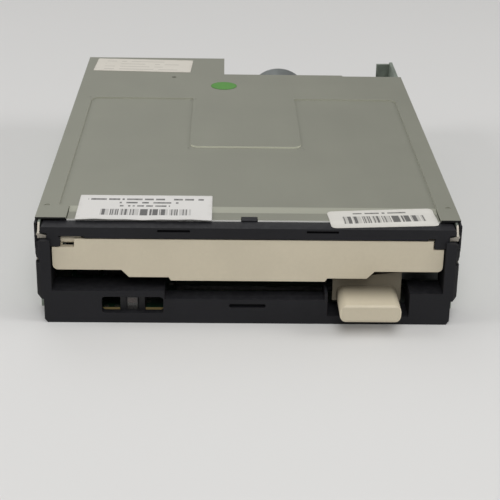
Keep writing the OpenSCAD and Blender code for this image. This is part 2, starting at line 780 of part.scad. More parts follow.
module front_bezel() {
    lug_x = [door_top_x[0] - 3.3, door_top_x[1] + 0.3];
    relief_z = [top_bar_z - 1, hinge_z + barrel_r + door_gap];
    pocket_x = [half_w - tongue_inset - tray_t - 0.1, half_w - tongue_inset + 0.1];
    color(BLACK) from_front() {
        difference() {
            intersection() {
                along_y([0, bezel_depth]) bezel_outline();
                along_z([0, bezel_top]) bezel_plan();
            }
            along_y([-1, bezel_depth + 1]) bezel_opening();
            bezel_hollows();
            span([-half_w, half_w], [-1, top_bar_setback], [finger_z - hook_clear, bezel_top + 1]);
            span(lip_x + [-0.1, 0.1], [lip_front - 0.1, bezel_depth + 1], [lip_under, bezel_top + 1]);
            along_y([-1, face_t + 1]) round_rect(lamp_x, lamp_z, lamp_r);
            for (x = [[-21.6, -13.9], [13.7, 21.3]])
                span(x, [0, 4], [bezel_top - 1.1, bezel_top - 0.5]);
            along_y([-1, 1.2]) round_rect([-4.5, 4.3], [4.2, 5.2], 0.45);
            span([lug_x[0] - 0.3, door_top_x[0] + 2.4], [-1, 4.7], relief_z);
            span([door_top_x[1] - 1.3, lug_x[1] + 0.1], [-1, 4.7], relief_z);
            both_sides() {
                span(pocket_x, [tongue_front - 0.3, bezel_depth + 1], [tongue_z[0] - 0.3, tongue_z[1] + 0.3]);
                bar_x([pocket_x[0], half_w + 1], lug_y, lug_z, lug_r + 0.1);
                bar_x([arm_in - 1, door_half_w + hinge_len + 0.1], hinge_y, hinge_z, hinge_r + 0.05);
                bar_y(half_w - 0.75, [-1, lug_y], lug_z - 0.2, 0.65);
                span([pocket_x[1], half_w + 1], [-1, bezel_depth + 1],
                    wall_step_z * [1, 1] - [0.7, 0.4]);
            }
        }
        for (x = [[-arm_in - 0.1, lug_x[0]], [lug_x[1], arm_in + 0.1]])
            span(x, top_bar_setback * [1, 1] + [0, hinge_lug_t], [door_shoulder + door_gap, top_bar_z + 0.1]);
        both_sides() span([upper_out + 0.1, half_w], [ear_taper_y - 0.4, cover_front - 0.1],
            [wall_step_z - 1.5, cover_under - 0.1]);
        bar_x([-arm_in - 0.1, -arm_in + 4], door_spring_at[0], door_spring_at[1], door_spring_r - 0.3);
        span(key_x, [lip_front - 0.2, lip_front + lip_notch - 0.2], [lip_under - lap, lip_top]);
    }
}

// Boards and what stands on them

module motor_board() {
    color(MASK) from_front() along_z([board_z, board_top]) difference() {
        union() {
            round_rect([2 - slide_spring_x, 34], [19, spindle_y + 20], 1);
            round_rect([-board_half_w, board_half_w], [18, 31], 1);
            round_rect([-38, -18], [3, 24], 0.8);
        }
        translate([0, spindle_y]) circle(sleeve_r + 0.05);
        for (at = motor_screw_at)
            translate(at) circle(screw_hole_r);
        both_sides() translate([mount_dx / 2, mount_y[0]]) circle(mount_hole_r + 2);
        round_rect(holder_x + [-0.1, 0.1], [face_t - 1, face_t + 5.3], 0.3);
    }
}

// One stator pole with its curved shoe
module pole() {
    shoe = 1.4;
    translate([sleeve_r + 2, -0.8]) square([stator_r - sleeve_r - 2.5, 1.6]);
    intersection() {
        difference() {
            circle(stator_r);
            circle(stator_r - shoe);
        }
        translate([stator_r - 3, -2.4]) square([4, 4.8]);
    }
}

module stator_core() {
    z = board_top + sleeve_flange_t;
    color(ZINC) from_front() translate([0, spindle_y, 0]) along_z([z + 0.3, z + 1.9]) {
        difference() {
            union() {
                circle(sleeve_r + 2.6);
                for (i = [0 : poles - 1])
                    rotate(i * 360 / poles) pole();
            }
            circle(sleeve_r + 0.02);
        }
    }
}

module stator_coils() {
    z = board_top + sleeve_flange_t;
    inner = sleeve_r + 3;
    outer = stator_r - 2;
    color(COPPER) from_front() translate([0, spindle_y, 0]) for (i = [0 : poles - 1])
        rotate(i * 360 / poles) difference() {
            span([inner, outer], [-1.5, 1.5], [z - 0.3, z + 2.5]);
            span([inner - 1, outer + 1], [-0.8, 0.8], [z + 0.3, z + 1.9]);
        }
}

module spindle_sleeve() {
    color(BRASS) from_front() translate([0, spindle_y, 0]) difference() {
        union() {
            bar_z(0, 0, [board_z, sleeve_top], sleeve_r);
            bar_z(0, 0, [board_top, board_top + sleeve_flange_t], sleeve_flange_r);
            bar_z(0, 0, [board_top, board_top + sleeve_flange_t + 0.3], sleeve_r + 1);
        }
        bar_z(0, 0, [sleeve_floor, sleeve_top + 1], shaft_r + shaft_fit);
    }
}

module motor_screws() {
    color(ZINC) from_front() for (at = motor_screw_at)
        pan_screw(at, board_top, board_top - 0.3);
}

// Plan of the main board: a rear strip and a part beside the head drive
module main_board_plan() {
    round_rect([1.3 - wall_in, wall_in - 4.8], [drive_len - 18.9, board_rear], 1);
    round_rect([-board_half_w, -20], [spindle_y + 32, drive_len - 15], 1);
}

module main_board() {
    color(MASK) from_front() along_z([board_z, board_top]) difference() {
        main_board_plan();
        for (at = board_screw_at)
            translate(at) circle(screw_hole_r);
        both_sides() translate([mount_dx / 2, mount_y[1]]) circle(mount_hole_r + 2);
    }
}

// Places of the signal pins: column offset, height and depth of the tail
function header_pins() =
    [for (row = [0, 1], col = [0 : pin_cols - 1])
        [header_x + (col - (pin_cols - 1) / 2) * pin_pitch, board_top + 2 + row * pin_pitch, row]];
header_y = [drive_len - 9.4, drive_len - 0.6];
header_half_w = pin_cols * pin_pitch / 2 + 0.2;
header_x = header_gap + header_half_w - wall_in;
header_h = 6.8;
pin_half = 0.32;

module signal_header() {
    x = [header_x - header_half_w, header_x + header_half_w];
    z = [board_top, board_top + header_h];
    color(CHIP) from_front() difference() {
        span(x, header_y, z);
        span(x + [0.9, -0.9], header_y + [2, 1], z + [0.8, -0.8]);
        span([header_x - 2.3, header_x + 2.3], header_y + [3, 1], [z[1] - 2, z[1] + 1]);
        for (p = header_pins())
            translate([p.x, header_y[0], p.y])
                cube([2 * pin_half + 0.1, 6, 2 * pin_half + 0.1], center = true);
    }
}

module signal_pins() {
    color(BRASS) from_front() for (p = header_pins()) {
        tail = header_y[0] - 1.2 - 1.6 * p.z;
        span([p.x - pin_half, p.x + pin_half], [tail, header_y[1] - 1.2], [p.y - pin_half, p.y + pin_half]);
        span([p.x - pin_half, p.x + pin_half], [tail, tail + 2 * pin_half], [board_top, p.y]);
    }
}

power_y = [drive_len - 10, drive_len - 0.6];
power_half_w = 6.2;
power_x = half_w - rear_tab_w - power_gap - power_half_w;
power_h = 6.3;

module power_connector() {
    x = [power_x - power_half_w, power_x + power_half_w];
    color("#d8d4c4") from_front() difference() {
        span(x, power_y, [board_top, board_top + power_h]);
        span(x + [1, -1], [power_y[0] + 2, power_y[1] + 1], [board_top + 1, board_top + power_h - 1]);
        for (i = [-1.5 : 1.5])
            translate([power_x + i * pin_pitch, power_y[0], board_top + 3.2])
                cube([2 * pin_half + 0.1, 6, 2 * pin_half + 0.1], center = true);
    }
}

module power_pins() {
    color(ZINC) from_front() for (i = [-1.5 : 1.5]) {
        x = [power_x + i * pin_pitch - pin_half, power_x + i * pin_pitch + pin_half];
        tail = power_y[0] - 1.4;
        span(x, [tail, power_y[1] - 1.2], [board_top + 3.2 - pin_half, board_top + 3.2 + pin_half]);
        span(x, [tail, tail + 2 * pin_half], [board_top, board_top + 3.2]);
    }
}

// Flat chip with a row of leads on two sides
module chip(at, size, leads) {
    translate([at.x, at.y, board_top]) {
        translate([-size.x / 2, -size.y / 2, 0.15]) cube(size);
        for (side = [-1, 1], i = [0 : leads - 1])
            translate([side * (size.x / 2 + 0.4), (i - (leads - 1) / 2) * size.y / leads, 0.3])
                cube([1.2, 0.35, 0.6], center = true);
    }
}

module controller_chips() {
    color(CHIP) from_front() {
        chip([11.6 - board_half_w, head_y + 1.7], [9, 6.4, 1.6], 8);
        chip([-28, spindle_y - 7], [6, 10, 1.6], 10);
        chip([28, spindle_y - 9], [6, 7, 1.5], 6);
    }
}

module board_components() {
    color("#4b4a46") from_front() {
        bar_z(-22.5, head_y - 5, [board_top, board_top + 4.2], 2.0);
        bar_z(3.6 - board_half_w, head_y + 8.5, [board_top, board_top + 3.4], 2.2);
        for (i = [0 : 4])
            translate([0.6 - board_half_w + 3.4 * i, drive_len - 20.9, board_top]) cube([1.6, 3.2, 1.1]);
        for (i = [0 : 3])
            translate([21 + 3.4 * i, 22.5, board_top]) cube([1.6, 2.6, 0.9]);
        bar_z(27, spindle_y + 14, [board_top, board_top + 3.6], 2.4);
    }
}

module board_screws() {
    color(ZINC) from_front() for (at = board_screw_at)
        pan_screw(at, board_top, board_top - 0.3);
}

// Head drive, fixed side

module stepper_can() {
    y = [stepper_front, stepper_front + stepper_len];
    color("#9aa2a8") from_front() difference() {
        union() {
            bar_y(screw_x, y + [0.8, -1.2], screw_z, stepper_r);
            bar_y(screw_x, y, screw_z, stepper_r - 0.5);
            bar_y(screw_x, [stepper_front - bracket_t - 0.6, stepper_front + 1], screw_z, 3.4);
            span([screw_x - 4.5, screw_x + 4.5], [y[1] - 9, y[1] - 2], [board_top, screw_z]);
        }
        bar_y(screw_x, [stepper_front - 4, stepper_front + 2.5], screw_z, journal_r + journal_fit);
    }
}

function bracket_screw_at() = [for (back = [13.5, 5.5]) [bracket_side_x + 4.6, stepper_front - back]];

module stepper_bracket() {
    plate_y = [stepper_front - bracket_t, stepper_front];
    side_x = [bracket_side_x, bracket_side_x + bracket_t];
    foot_z = tray_t + bracket_t;
    color(ZINC) from_front() difference() {
        union() {
            along_y(plate_y) round_rect([screw_x - 11, screw_x + 13], [tray_t, drive_h - 1.6], 2);
            span([screw_x - 11, screw_x + 13], plate_y, [tray_t, tray_t + 4]);
            span(side_x, [screw_front, stepper_front], [tray_t, screw_z + 3]);
            span([bracket_side_x, bracket_side_x + 8], [stepper_front - 17.5, stepper_front],
                [tray_t, foot_z]);
            along_y([screw_front, screw_front + bracket_t]) {
                translate([screw_x, screw_z]) circle(1.7);
                translate([screw_x, screw_z - 1.7]) square([bracket_side_x - screw_x + 0.5, 3.4]);
            }
        }
        bar_y(screw_x, plate_y + [-1, 1], screw_z, 3.45);
        bar_y(screw_x, [screw_front - 1, screw_front + bracket_t + 1], screw_z, journal_r + journal_fit);
        for (at = bracket_screw_at())
            bar_z(at.x, at.y, [0, foot_z + 1], screw_hole_r);
    }
}

module stepper_screws() {
    foot_z = tray_t + bracket_t;
    color(ZINC) from_front() for (at = bracket_screw_at())
        pan_screw(at, foot_z, foot_z - 0.3);
}

module guide_rods() {
    color("#b9bcbe") from_front() both_sides()
        bar_y(rod_dx / 2, [rod_front, rod_rear], rod_z, rod_r);
}

clamp_y = [[rod_front + 0.1, rod_front + clamp_len], [rod_rear - clamp_len, rod_rear - 0.1]];
clamp_ear_t = 1.5;
clamp_head_r = 1.15;
function clamp_screw_at() =
    [for (side = [-1, 1]) each [
        [side * (rod_dx / 2 + 5.4), (clamp_y[0][0] + clamp_y[0][1]) / 2],
        [side * (rod_dx / 2 - 5.4), (clamp_y[1][0] + clamp_y[1][1]) / 2]
    ]];

// Four blocks that hold the rods, each with a screwed ear
module rod_clamps() {
    x = rod_dx / 2;
    color(POLYMER) from_front() difference() {
        both_sides() {
            span([x - 2.4, x + 2.4], clamp_y[0], [tray_t, rod_z + rod_r + 0.7]);
            span([x - 2.4, x + 7.6], clamp_y[0], [tray_t, tray_t + clamp_ear_t]);
            span([x - 2.4, x + 2.4], clamp_y[1], [tray_t, rod_z + rod_r + 0.7]);
            span([x - 7.6, x + 2.4], clamp_y[1], [tray_t, tray_t + clamp_ear_t]);
        }
        both_sides() bar_y(x, [rod_front, rod_rear], rod_z, rod_r);
        for (at = clamp_screw_at())
            bar_z(at.x, at.y, [0, tray_t + 3], screw_hole_r);
    }
}

module clamp_screws() {
    seat = tray_t + clamp_ear_t;
    color(ZINC) from_front() for (at = clamp_screw_at())
        pan_screw(at, seat, seat - 0.3, clamp_head_r);
}

sensor_x = -22.3;
sensor_y = [head_y + 17.5, head_y + 22];

module track_zero_sensor() {
    color(CHIP) from_front() {
        span([sensor_x - 3.2, sensor_x + 2.2], sensor_y, [board_top, board_top + 1.2]);
        for (x = [[sensor_x - 3.2, sensor_x - 1.2], [sensor_x + 1.2, sensor_x + 2.2]])
            span(x, sensor_y, [board_top, board_top + 3.6]);
    }
}

// Lamp behind the window

// Stands in a notch of the board's front edge
module led_holder() {
    color(CHIP) from_front() difference() {
        span(holder_x, [face_t + 1, face_t + 5], [board_z, lamp_z[1]]);
        span(lamp_body_x + [-0.05, 0.05], [face_t, face_t + 6], lamp_body_z + [-0.05, 0.05]);
    }
}

// Lead of the lamp, bent down to the board
module lamp_lead(x) {
    side = [x - lead_half, x + lead_half];
    top = board_top + 2.1;
    span(side, [face_t + 4.5, face_t + 6], [top - 2 * lead_half, top]);
    span(side, [face_t + 6 - 2 * lead_half, face_t + 6], [board_top, top]);
}

module status_led() {
    color("#a9a9a2") from_front() {
        span(lamp_body_x, [face_t + 0.15, face_t + 4.5], lamp_body_z);
        for (x = [-0.9, 0.9])
            lamp_lead(lamp_mid + x);
    }
}

module switch_bodies() {
    color(CHIP) from_front() for (x = switch_x) difference() {
        translate([x - switch_size.x / 2, switch_y - switch_size.y / 2, board_top]) cube(switch_size);
        bar_z(x, switch_y, [board_top + 1.5, board_top + switch_size.z + 1], plunger_r + slide_fit);
    }
}

module plunger(x) {
    color(CREAM) from_front() {
        bar_z(x, switch_y, [board_top + 1.5 + plunger_travel + 0.3, plunger_top - 0.5], plunger_r);
        translate([x, switch_y, plunger_top - 0.5]) cylinder(h = 0.5, r1 = plunger_r, r2 = 0.6);
    }
}

module density_plunger() {
    plunger(switch_x[0]);
}

module protect_plunger() {
    plunger(switch_x[1]);
}

module presence_plunger() {
    plunger(switch_x[2]);
}

// Springs and ribbons

// Extension spring along Z from 0 to a length, with straight ends on its axis
function pull_spring(r, length, curls, wire) =
    let (lead = 4 * wire, pitch = (length - 2 * lead) / curls, body = coil(r, pitch, curls))
        concat(
            [[0, 0, 0], [0, 0, 2 * wire]],
            [for (q = body) [q.x, q.y, q.z + lead]],
            [[0, 0, length - 2 * wire], [0, 0, length]]
        );

module slide_springs() {
    points = pull_spring(slide_spring_r, slide_spring_len, slide_spring_curls, wire_r);
    color(ZINC) from_front() both_sides()
        translate([slide_spring_x, slide_spring_y[0], slide_spring_z]) rotate([-90, 0, 0])
            wire(points, wire_r, [1, 0, 0]);
}

module door_spring() {
    pitch = 2 * fine_wire_r + 0.45;
    body = coil(door_spring_r, pitch, door_spring_curls, 180);
    rest = [door_setback + door_t + fine_wire_r - door_spring_at[0], hinge_z - 2.5 - door_spring_at[1]];
    length = pitch * door_spring_curls;
    points = concat([[-door_spring_r, door_spring_r + 0.1, 0]], body, [[rest.x, rest.y, length]]);
    color(ZINC) from_front()
        translate([-arm_in + 0.4, door_spring_at[0], door_spring_at[1]]) rotate([90, 0, 90])
            wire(points, fine_wire_r, [0, 0, 1]);
}

module lever_spring() {
    pitch = 2 * wire_r + 0.45;
    body = coil(lever_spring_r, pitch, lever_spring_curls, 90);
    points = concat([[-6, lever_spring_r, 0]], body, [[5, lever_spring_r, pitch * lever_spring_curls]]);
    color(ZINC) from_front() translate([lever_at.x, lever_at.y, lever_z[1] + wire_r + 0.1])
        wire(points, wire_r, [0, 0, 1]);
}

module arm_spring() {
    pitch = 2 * fine_wire_r + 0.45;
    length = pitch * arm_spring_curls;
    body = coil(arm_spring_r, pitch, arm_spring_curls, 270);
    points = concat([[-3.5, rear_block_z + 0.2 - arm_hinge_z, 0]], body, [[-4, arm_spring_r + 0.5, length]]);
    color(ZINC) from_front() translate([-length / 2, arm_hinge_y, arm_hinge_z]) rotate([90, 0, 90])
        wire(points, fine_wire_r, [0, 0, 1]);
}

module motor_ribbon() {
    y = [spindle_y + 17.5, spindle_y + 33.5];
    color("#a0733a") from_front() span([-34.5, -26.5], y, [board_top, board_top + 0.2]);
}

// Thin strip that follows a row of points in X and Z
module strip(p, t, y) {
    d = [for (i = [0 : len(p) - 1]) unit(p[min(i + 1, len(p) - 1)] - p[max(i - 1, 0)])];
    upper = [for (i = [0 : len(p) - 1]) p[i] + t / 2 * [-d[i].y, d[i].x]];
    lower = [for (i = [len(p) - 1 : -1 : 0]) p[i] - t / 2 * [-d[i].y, d[i].x]];
    along_y(y) polygon(concat(upper, lower));
}

module head_ribbon() {
    from = [-rear_block_half_w, 9.5];
    to = [-30, board_top + 2.4];
    path = [for (i = [0 : 16]) let (u = i / 16, s = u * u * (3 - 2 * u))
        [from.x + (to.x - from.x) * u, from.y + (to.y - from.y) * s + 3 * sin(180 * u) * u]];
    color("#b07c3c") from_front() {
        strip(path, 0.2, [head_y + 18, head_y + 25]);
        span([to.x - 1.5, to.x + 0.3], [head_y + 17, head_y + 26], [board_top, to.y + 0.4]);
    }
}

// Dust door

// Front view of the door: stepped bottom edge, top cut away over the hinge lugs
module door_outline() {
    right = [
        [door_steps[3], door_edges[2]],
        [door_steps[2], door_edges[1]],
        [door_steps[1], door_edges[1]],
        [door_steps[0], door_edges[0]],
        [door_half_w - door_r, door_edges[0]],
        [door_half_w, door_edges[0] + door_r]
    ];
    left = [for (i = [len(right) - 1 : -1 : 0]) [-right[i].x, right[i].y]];
    top = [
        [door_half_w, door_shoulder],
        [door_top_x[1], door_shoulder],
        [door_top_x[1], door_top],
        [door_top_x[0], door_top],
        [door_top_x[0], door_shoulder],
        [-door_half_w, door_shoulder]
    ];
    polygon(concat(right, top, left));
    for (side = [-1, 1])
        translate([side * (door_half_w - door_r), door_edges[0] + door_r]) circle(door_r);
}

module dust_door() {
    y = [door_setback, door_setback + door_t];
    tab_y = [top_bar_setback + hinge_lug_t + 0.3, hinge_y + 0.5];
    color(CREAM) from_front() {
        along_y(y) door_outline();
        both_sides() {
            bar_x([door_half_w - 3, door_half_w + hinge_len], hinge_y, hinge_z, hinge_r);
            span(door_half_w * [1, 1] - [1.9, 0.1], tab_y, [door_shoulder - 0.8, hinge_z]);
            span(door_half_w * [1, 1] - [2.4, 0.1], [y[1] - 0.2, tab_y[1]],
                [door_shoulder - 0.8, hinge_z - 0.8]);
        }
        bar_x([-door_half_w + 2.1, door_top_x[0] + 1], hinge_y, hinge_z, barrel_r);
        span([door_top_x[0], door_top_x[0] + 1.5], [door_setback + 0.8, hinge_y],
            [hinge_z, hinge_z + barrel_r]);
        bar_x([door_top_x[1] - 1, door_half_w - 2.9], hinge_y, hinge_z, hinge_r);
        for (x = [-24, 0, 24])
            span([x - 0.5, x + 0.5], [y[1] - 0.1, y[1] + 0.8], [door_edges[1] + 0.6, door_shoulder - 0.5]);
    }
}

// Eject slide and button

stem_x = [25, 33];
stem_z = [4.9, 8.2];
strip_y = 15.8;
strip_z = [4.8, 9.5];

// Block with every edge that meets the front rounded
module eject_button() {
    y = [-button_reach, 4.2];
    shoulder_x = button_x + [-1, 1.1];
    shoulder_y = [4, 5.5];
    prong = [strip_y, strip_y + slide_t + 1];
    color(CREAM) from_front() {
        intersection() {
            along_y(y) round_rect(button_x, button_z, button_r);
            along_z(button_z) round_rect(button_x, y + [0, 3], button_edge_r);
            along_x(button_x) round_rect(y + [0, 3], button_z, button_edge_r);
        }
        along_y(shoulder_y) polygon([
            [shoulder_x[0], 4.5],
            [shoulder_x[1], 4.5],
            [shoulder_x[1], shoulder_z[1]],
            [shoulder_x[0], shoulder_z[0]]
        ]);
        span(stem_x, [shoulder_y[1] - 0.1, strip_y], stem_z);
        for (x = [stem_x[0] + 1.5, stem_x[1] - 2.7]) {
            span([x, x + 1.2], prong - [0.1, 0], stem_z + [0.8, -0.8]);
            span([x, x + 1.2], [strip_y + slide_t, prong[1]], stem_z + [0.8, -0.2]);
        }
    }
}

// Section of the slide: top plate and two side walls
module slide_section() {
    translate([-slide_out, slide_plate_z]) square([2 * slide_out, slide_t]);
    for (x = [-slide_out, slide_in])
        translate([x, slide_z]) square([slide_t, slide_top - slide_z]);
}

module eject_slide() {
    window_y = [tab_y + slide_t, slide_y[1] - 1.5];
    leg_y = [slide_spring_y[1] - 2, slide_spring_y[1] + 2];
    color(ZINC) from_front() {
        difference() {
            union() {
                along_y(slide_y) slide_section();
                both_sides() {
                    span([slide_in, slide_out], leg_y, [slide_spring_z - 1.2, slide_z + 1]);
                    span([slide_spring_x - 1.2, slide_out], [slide_spring_y[1], slide_spring_y[1] + slide_t],
                        [slide_spring_z - 1.2, slide_spring_z + 1.6]);
                }
                span([slide_in, slide_out], [strip_y, slide_y[0] + 1], [slide_z, strip_z[1]]);
                span([20, slide_out], [strip_y, strip_y + slide_t], strip_z);
                span([tab_x, tab_x + 2.4], [tab_y, tab_y + slide_t], [lever_z[0] + 0.1, slide_plate_z + 0.1]);
            }
            along_z([slide_plate_z - 1, slide_top + 1]) {
                translate([-16, spindle_y + 10]) square([32, slide_y[1]]);
                round_rect([lever_at.x - 6.5, slide_in - 1.4], window_y, 0.6);
                round_rect([5.4 - slide_in, 19.4 - slide_in], [40, slide_y[1] - 10], 3);
                round_rect([slide_in - 20.4, slide_in - 6.4], [32, tab_y - 12.9], 3);
                round_rect([-7, 7], [30, spindle_y], 3);
            }
            for (y = pin_y)
                along_x([-slide_out - 1, slide_out + 1])
                    slot([y, pin_z], [y + eject_travel, pin_z - carrier_drop], pin_r + slide_fit);
            for (x = [stem_x[0] + 1.5, stem_x[1] - 2.7])
                span([x - 0.1, x + 1.3], [strip_y - 1, strip_y + 2], stem_z + [0.7, -0.7]);
        }
    }
}

// Disk carrier and eject lever

// Section of the carrier: top plate, sides and the ledges that the disk slides on
module carrier_section() {
    translate([-carrier_out, carrier_plate_z]) square([2 * carrier_out, carrier_t]);
    for (side = [0, 1]) mirror([side, 0]) {
        translate([carrier_in, carrier_z[0]]) square([carrier_t, carrier_z[1] - carrier_z[0]]);
        translate([carrier_in - ledge_w, carrier_z[0]]) square([ledge_w + carrier_t, carrier_t]);
    }
}

// Curved slot that the lever's finger sweeps in the carrier's top plate, with square ends
module finger_slot() {
    r = finger_r + 0.4;
    half_turn = lever_swing / 2 + asin(r / lever_reach);
    far = 2 * lever_reach;
    ends = [180 - half_turn, 180 + half_turn];
    translate(lever_at) intersection() {
        difference() {
            circle(lever_reach + r);
            circle(lever_reach - r);
        }
        polygon([[0, 0], far * [cos(ends[0]), sin(ends[0])], [-2 * far, 0],
            far * [cos(ends[1]), sin(ends[1])]]);
    }
}

rivet_r = 0.8;

module disk_carrier() {
    color("#9b9e9f") from_front() difference() {
        along_y(carrier_y) carrier_section();
        span([-carrier_in, carrier_in], [carrier_y[0] - 1, switch_y + 5], [0, carrier_z[0] + carrier_t]);
        along_z([carrier_plate_z - 1, carrier_z[1] + 1]) {
            round_rect([-11, 11], [spindle_y + 16, carrier_y[1] + 10], 2);
            translate([0, carrier_y[0]]) polygon([[-30, -1], [30, -1], [22, 7], [-22, 7]]);
            round_rect([-7, 7], [spindle_y - 20, spindle_y + 6], 4);
            finger_slot();
            translate(lever_at) circle(rivet_r);
        }
        for (y = pin_y)
            bar_x([-carrier_out - 1, carrier_out + 1], y, pin_z, rivet_r);
    }
}

module carrier_pins() {
    color(BRASS) from_front() both_sides() for (y = pin_y) {
        bar_x([carrier_in, carrier_out + 0.1], y, pin_z, rivet_r);
        bar_x([carrier_out, half_w - 0.2], y, pin_z, pin_r);
    }
}

lever_t = 0.8;
lever_z = [carrier_z[1] + 0.3, carrier_z[1] + 0.3 + lever_t];
pivot_r = 1.5;
// Latch: the lever's nose stands in front of a tab bent down from the slide
nose_reach = 9;
tab_x = lever_at.x + 0.6;
tab_y = lever_at.y - 8.1;

module lever_pivot() {
    color(BRASS) from_front() {
        bar_z(lever_at.x, lever_at.y, [carrier_plate_z, carrier_z[1] + 0.1], rivet_r);
        bar_z(lever_at.x, lever_at.y, [carrier_z[1], lever_z[0] - 0.05], pivot_r + 1);
        bar_z(lever_at.x, lever_at.y, [carrier_z[1], lever_z[1] + 3.2], pivot_r);
        bar_z(lever_at.x, lever_at.y, [lever_z[1] + 3.1, lever_z[1] + 3.7], pivot_r + 0.7);
    }
}

module eject_lever() {
    rest = 180 + lever_swing / 2;
    tip = lever_reach * [cos(rest), sin(rest)];
    across = [-sin(rest), cos(rest)];
    color(STEEL) from_front() translate([lever_at.x, lever_at.y, 0]) {
        along_z(lever_z) difference() {
            union() {
                circle(3.6);
                polygon([-3.2 * across, 3.2 * across, tip + 1.8 * across, tip - 1.8 * across]);
                translate(tip) circle(1.8);
                translate([-2.6, -nose_reach - 1.1]) square([2.6, nose_reach]);
                translate([-2.6, -nose_reach - 1.1]) square([3.6, 1.6]);
            }
            circle(pivot_r + shaft_fit);
        }
        bar_z(tip.x, tip.y, [carrier_z[0] + carrier_t + 0.2, lever_z[0] + 0.1], finger_r);
    }
}

// Spindle motor, turning side

module rotor_yoke() {
    color(ZINC) from_front() translate([0, spindle_y, 0]) difference() {
        bar_z(0, 0, [rotor_z, rotor_top], rotor_r);
        bar_z(0, 0, [rotor_z - 1, rotor_top - rotor_t], rotor_r - rotor_t);
        bar_z(0, 0, [rotor_z, rotor_top + 1], shaft_r);
        for (i = [0 : 2])
            rotate(i * 120 + 60) bar_z(hub_r + 2, 0, [rotor_z, rotor_top + 1], 1.3);
    }
}

module rotor_magnet() {
    color("#3b3b3d") from_front() translate([0, spindle_y, 0]) difference() {
        bar_z(0, 0, [rotor_z + 0.1, rotor_top - rotor_t], magnet_out);
        bar_z(0, 0, [rotor_z - 1, rotor_top + 1], magnet_in);
    }
}

module hub_table() {
    color("#c0c2c2") from_front() translate([0, spindle_y, 0]) difference() {
        bar_z(0, 0, [rotor_top, hub_top], hub_r);
        bar_z(0, 0, [rotor_top - 1, hub_top + 1], shaft_r);
        bar_z(drive_pin_at, 0, [rotor_top - 1, hub_top + 1], drive_pin_r);
    }
}

module spindle_shaft() {
    color("#d0d2d3") from_front() translate([0, spindle_y, 0]) {
        bar_z(0, 0, [sleeve_floor + shaft_fit, shaft_top - 0.5], shaft_r);
        translate([0, 0, shaft_top - 0.5]) cylinder(h = 0.5, r1 = shaft_r, r2 = shaft_r - 0.5);
    }
}

module drive_pin() {
    color(BRASS) from_front() translate([drive_pin_at, spindle_y, 0]) {
        bar_z(0, 0, [rotor_top, hub_top + 1.1], drive_pin_r);
        translate([0, 0, hub_top + 1.1]) cylinder(h = 0.4, r1 = drive_pin_r, r2 = drive_pin_r - 0.4);
    }
}

// Head carriage

module head_carriage() {
    x = rod_dx / 2;
    block_y = [rear_block_front, carriage_rear];
    ear_top = arm_hinge_z + 1.8;
    color(POLYMER) from_front() difference() {
        union() {
            along_z(carriage_z) difference() {
                union() {
                    round_rect([-12, 12], [carriage_front, carriage_rear], 1.5);
                    round_rect([-x - 3, -x + 4], [bearing_front, carriage_rear], 0.8);
                    round_rect([8, x + 2.3], [head_y + 8.5, head_y + 20.5], 0.8);
                }
                round_rect([-9, 9], [head_y + 5.5, head_y + 14.5], 1.5);
            }
            span([-4, 4], [head_y - 4, head_y + 4], [carriage_z[1], lower_head_top - 0.85]);
            span([-rear_block_half_w, rear_block_half_w], block_y, [carriage_z[1] - 0.1, rear_block_z]);
            both_sides() along_x([ear_half_w, rear_block_half_w]) {
                translate([arm_hinge_y - 3, rear_block_z - 0.1])
                    square([carriage_rear - arm_hinge_y + 3, 1.6]);
                slot([arm_hinge_y - 0.4, rear_block_z + 1.2], [arm_hinge_y - 0.4, arm_hinge_z], 1.8);
            }
            span([sensor_x - 0.3, -x], sensor_y + [0.8, -0.8], [board_top + 3.9, carriage_z[1]]);
            span([sensor_x - 0.3, sensor_x + 0.3], sensor_y + [0.8, -0.8], [board_top + 1.7, carriage_z[1]]);
        }
        bar_y(-x, [carriage_front - 1, carriage_rear + 1], rod_z, rod_r + shaft_fit);
        span([x - rod_r - 0.4, x + 5], [head_y, carriage_rear], [rod_z - rod_r - 0.05, rod_z + rod_r + 0.05]);
        both_sides()
            bar_x([ear_half_w - 1, rear_block_half_w - 0.5], arm_hinge_y, arm_hinge_z, arm_pin_r + shaft_fit);
    }
}

// Slider of a head on its spring plate, facing up
module head_slider() {
    difference() {
        union() {
            span([-3, 3], [-3.2, 3.2], [-0.85, -0.6]);
            span([-1.9, 1.9], [-2, 2], [-0.7, 0]);
        }
        span([-0.4, 0.4], [-3, 3], [-0.3, 1]);
    }
}

module lower_head() {
    color("#57585a") from_front() translate([0, head_y, lower_head_top]) head_slider();
}

// Nut that runs in the lead screw's groove
module screw_follower() {
    root = screw_r - screw_offset;
    color(CREAM) from_front() {
        span([rear_block_half_w, screw_x - screw_r - screw_offset - 0.3],
            [follower_y - 1.3, follower_y + 1.3], [screw_z - 3.2, screw_z + 0.8]);
        bar_x([rear_block_half_w, screw_x - root - 0.25], follower_y, screw_z, 0.45);
    }
}

// Turns the upper arm's parts from level to the lifted place
module lifted() {
    translate([0, arm_hinge_y, arm_hinge_z]) rotate([-arm_lift, 0, 0])
        translate([0, -arm_hinge_y, -arm_hinge_z]) children();
}

arm_z = [arm_hinge_z - 0.4, arm_hinge_z + 0.9];

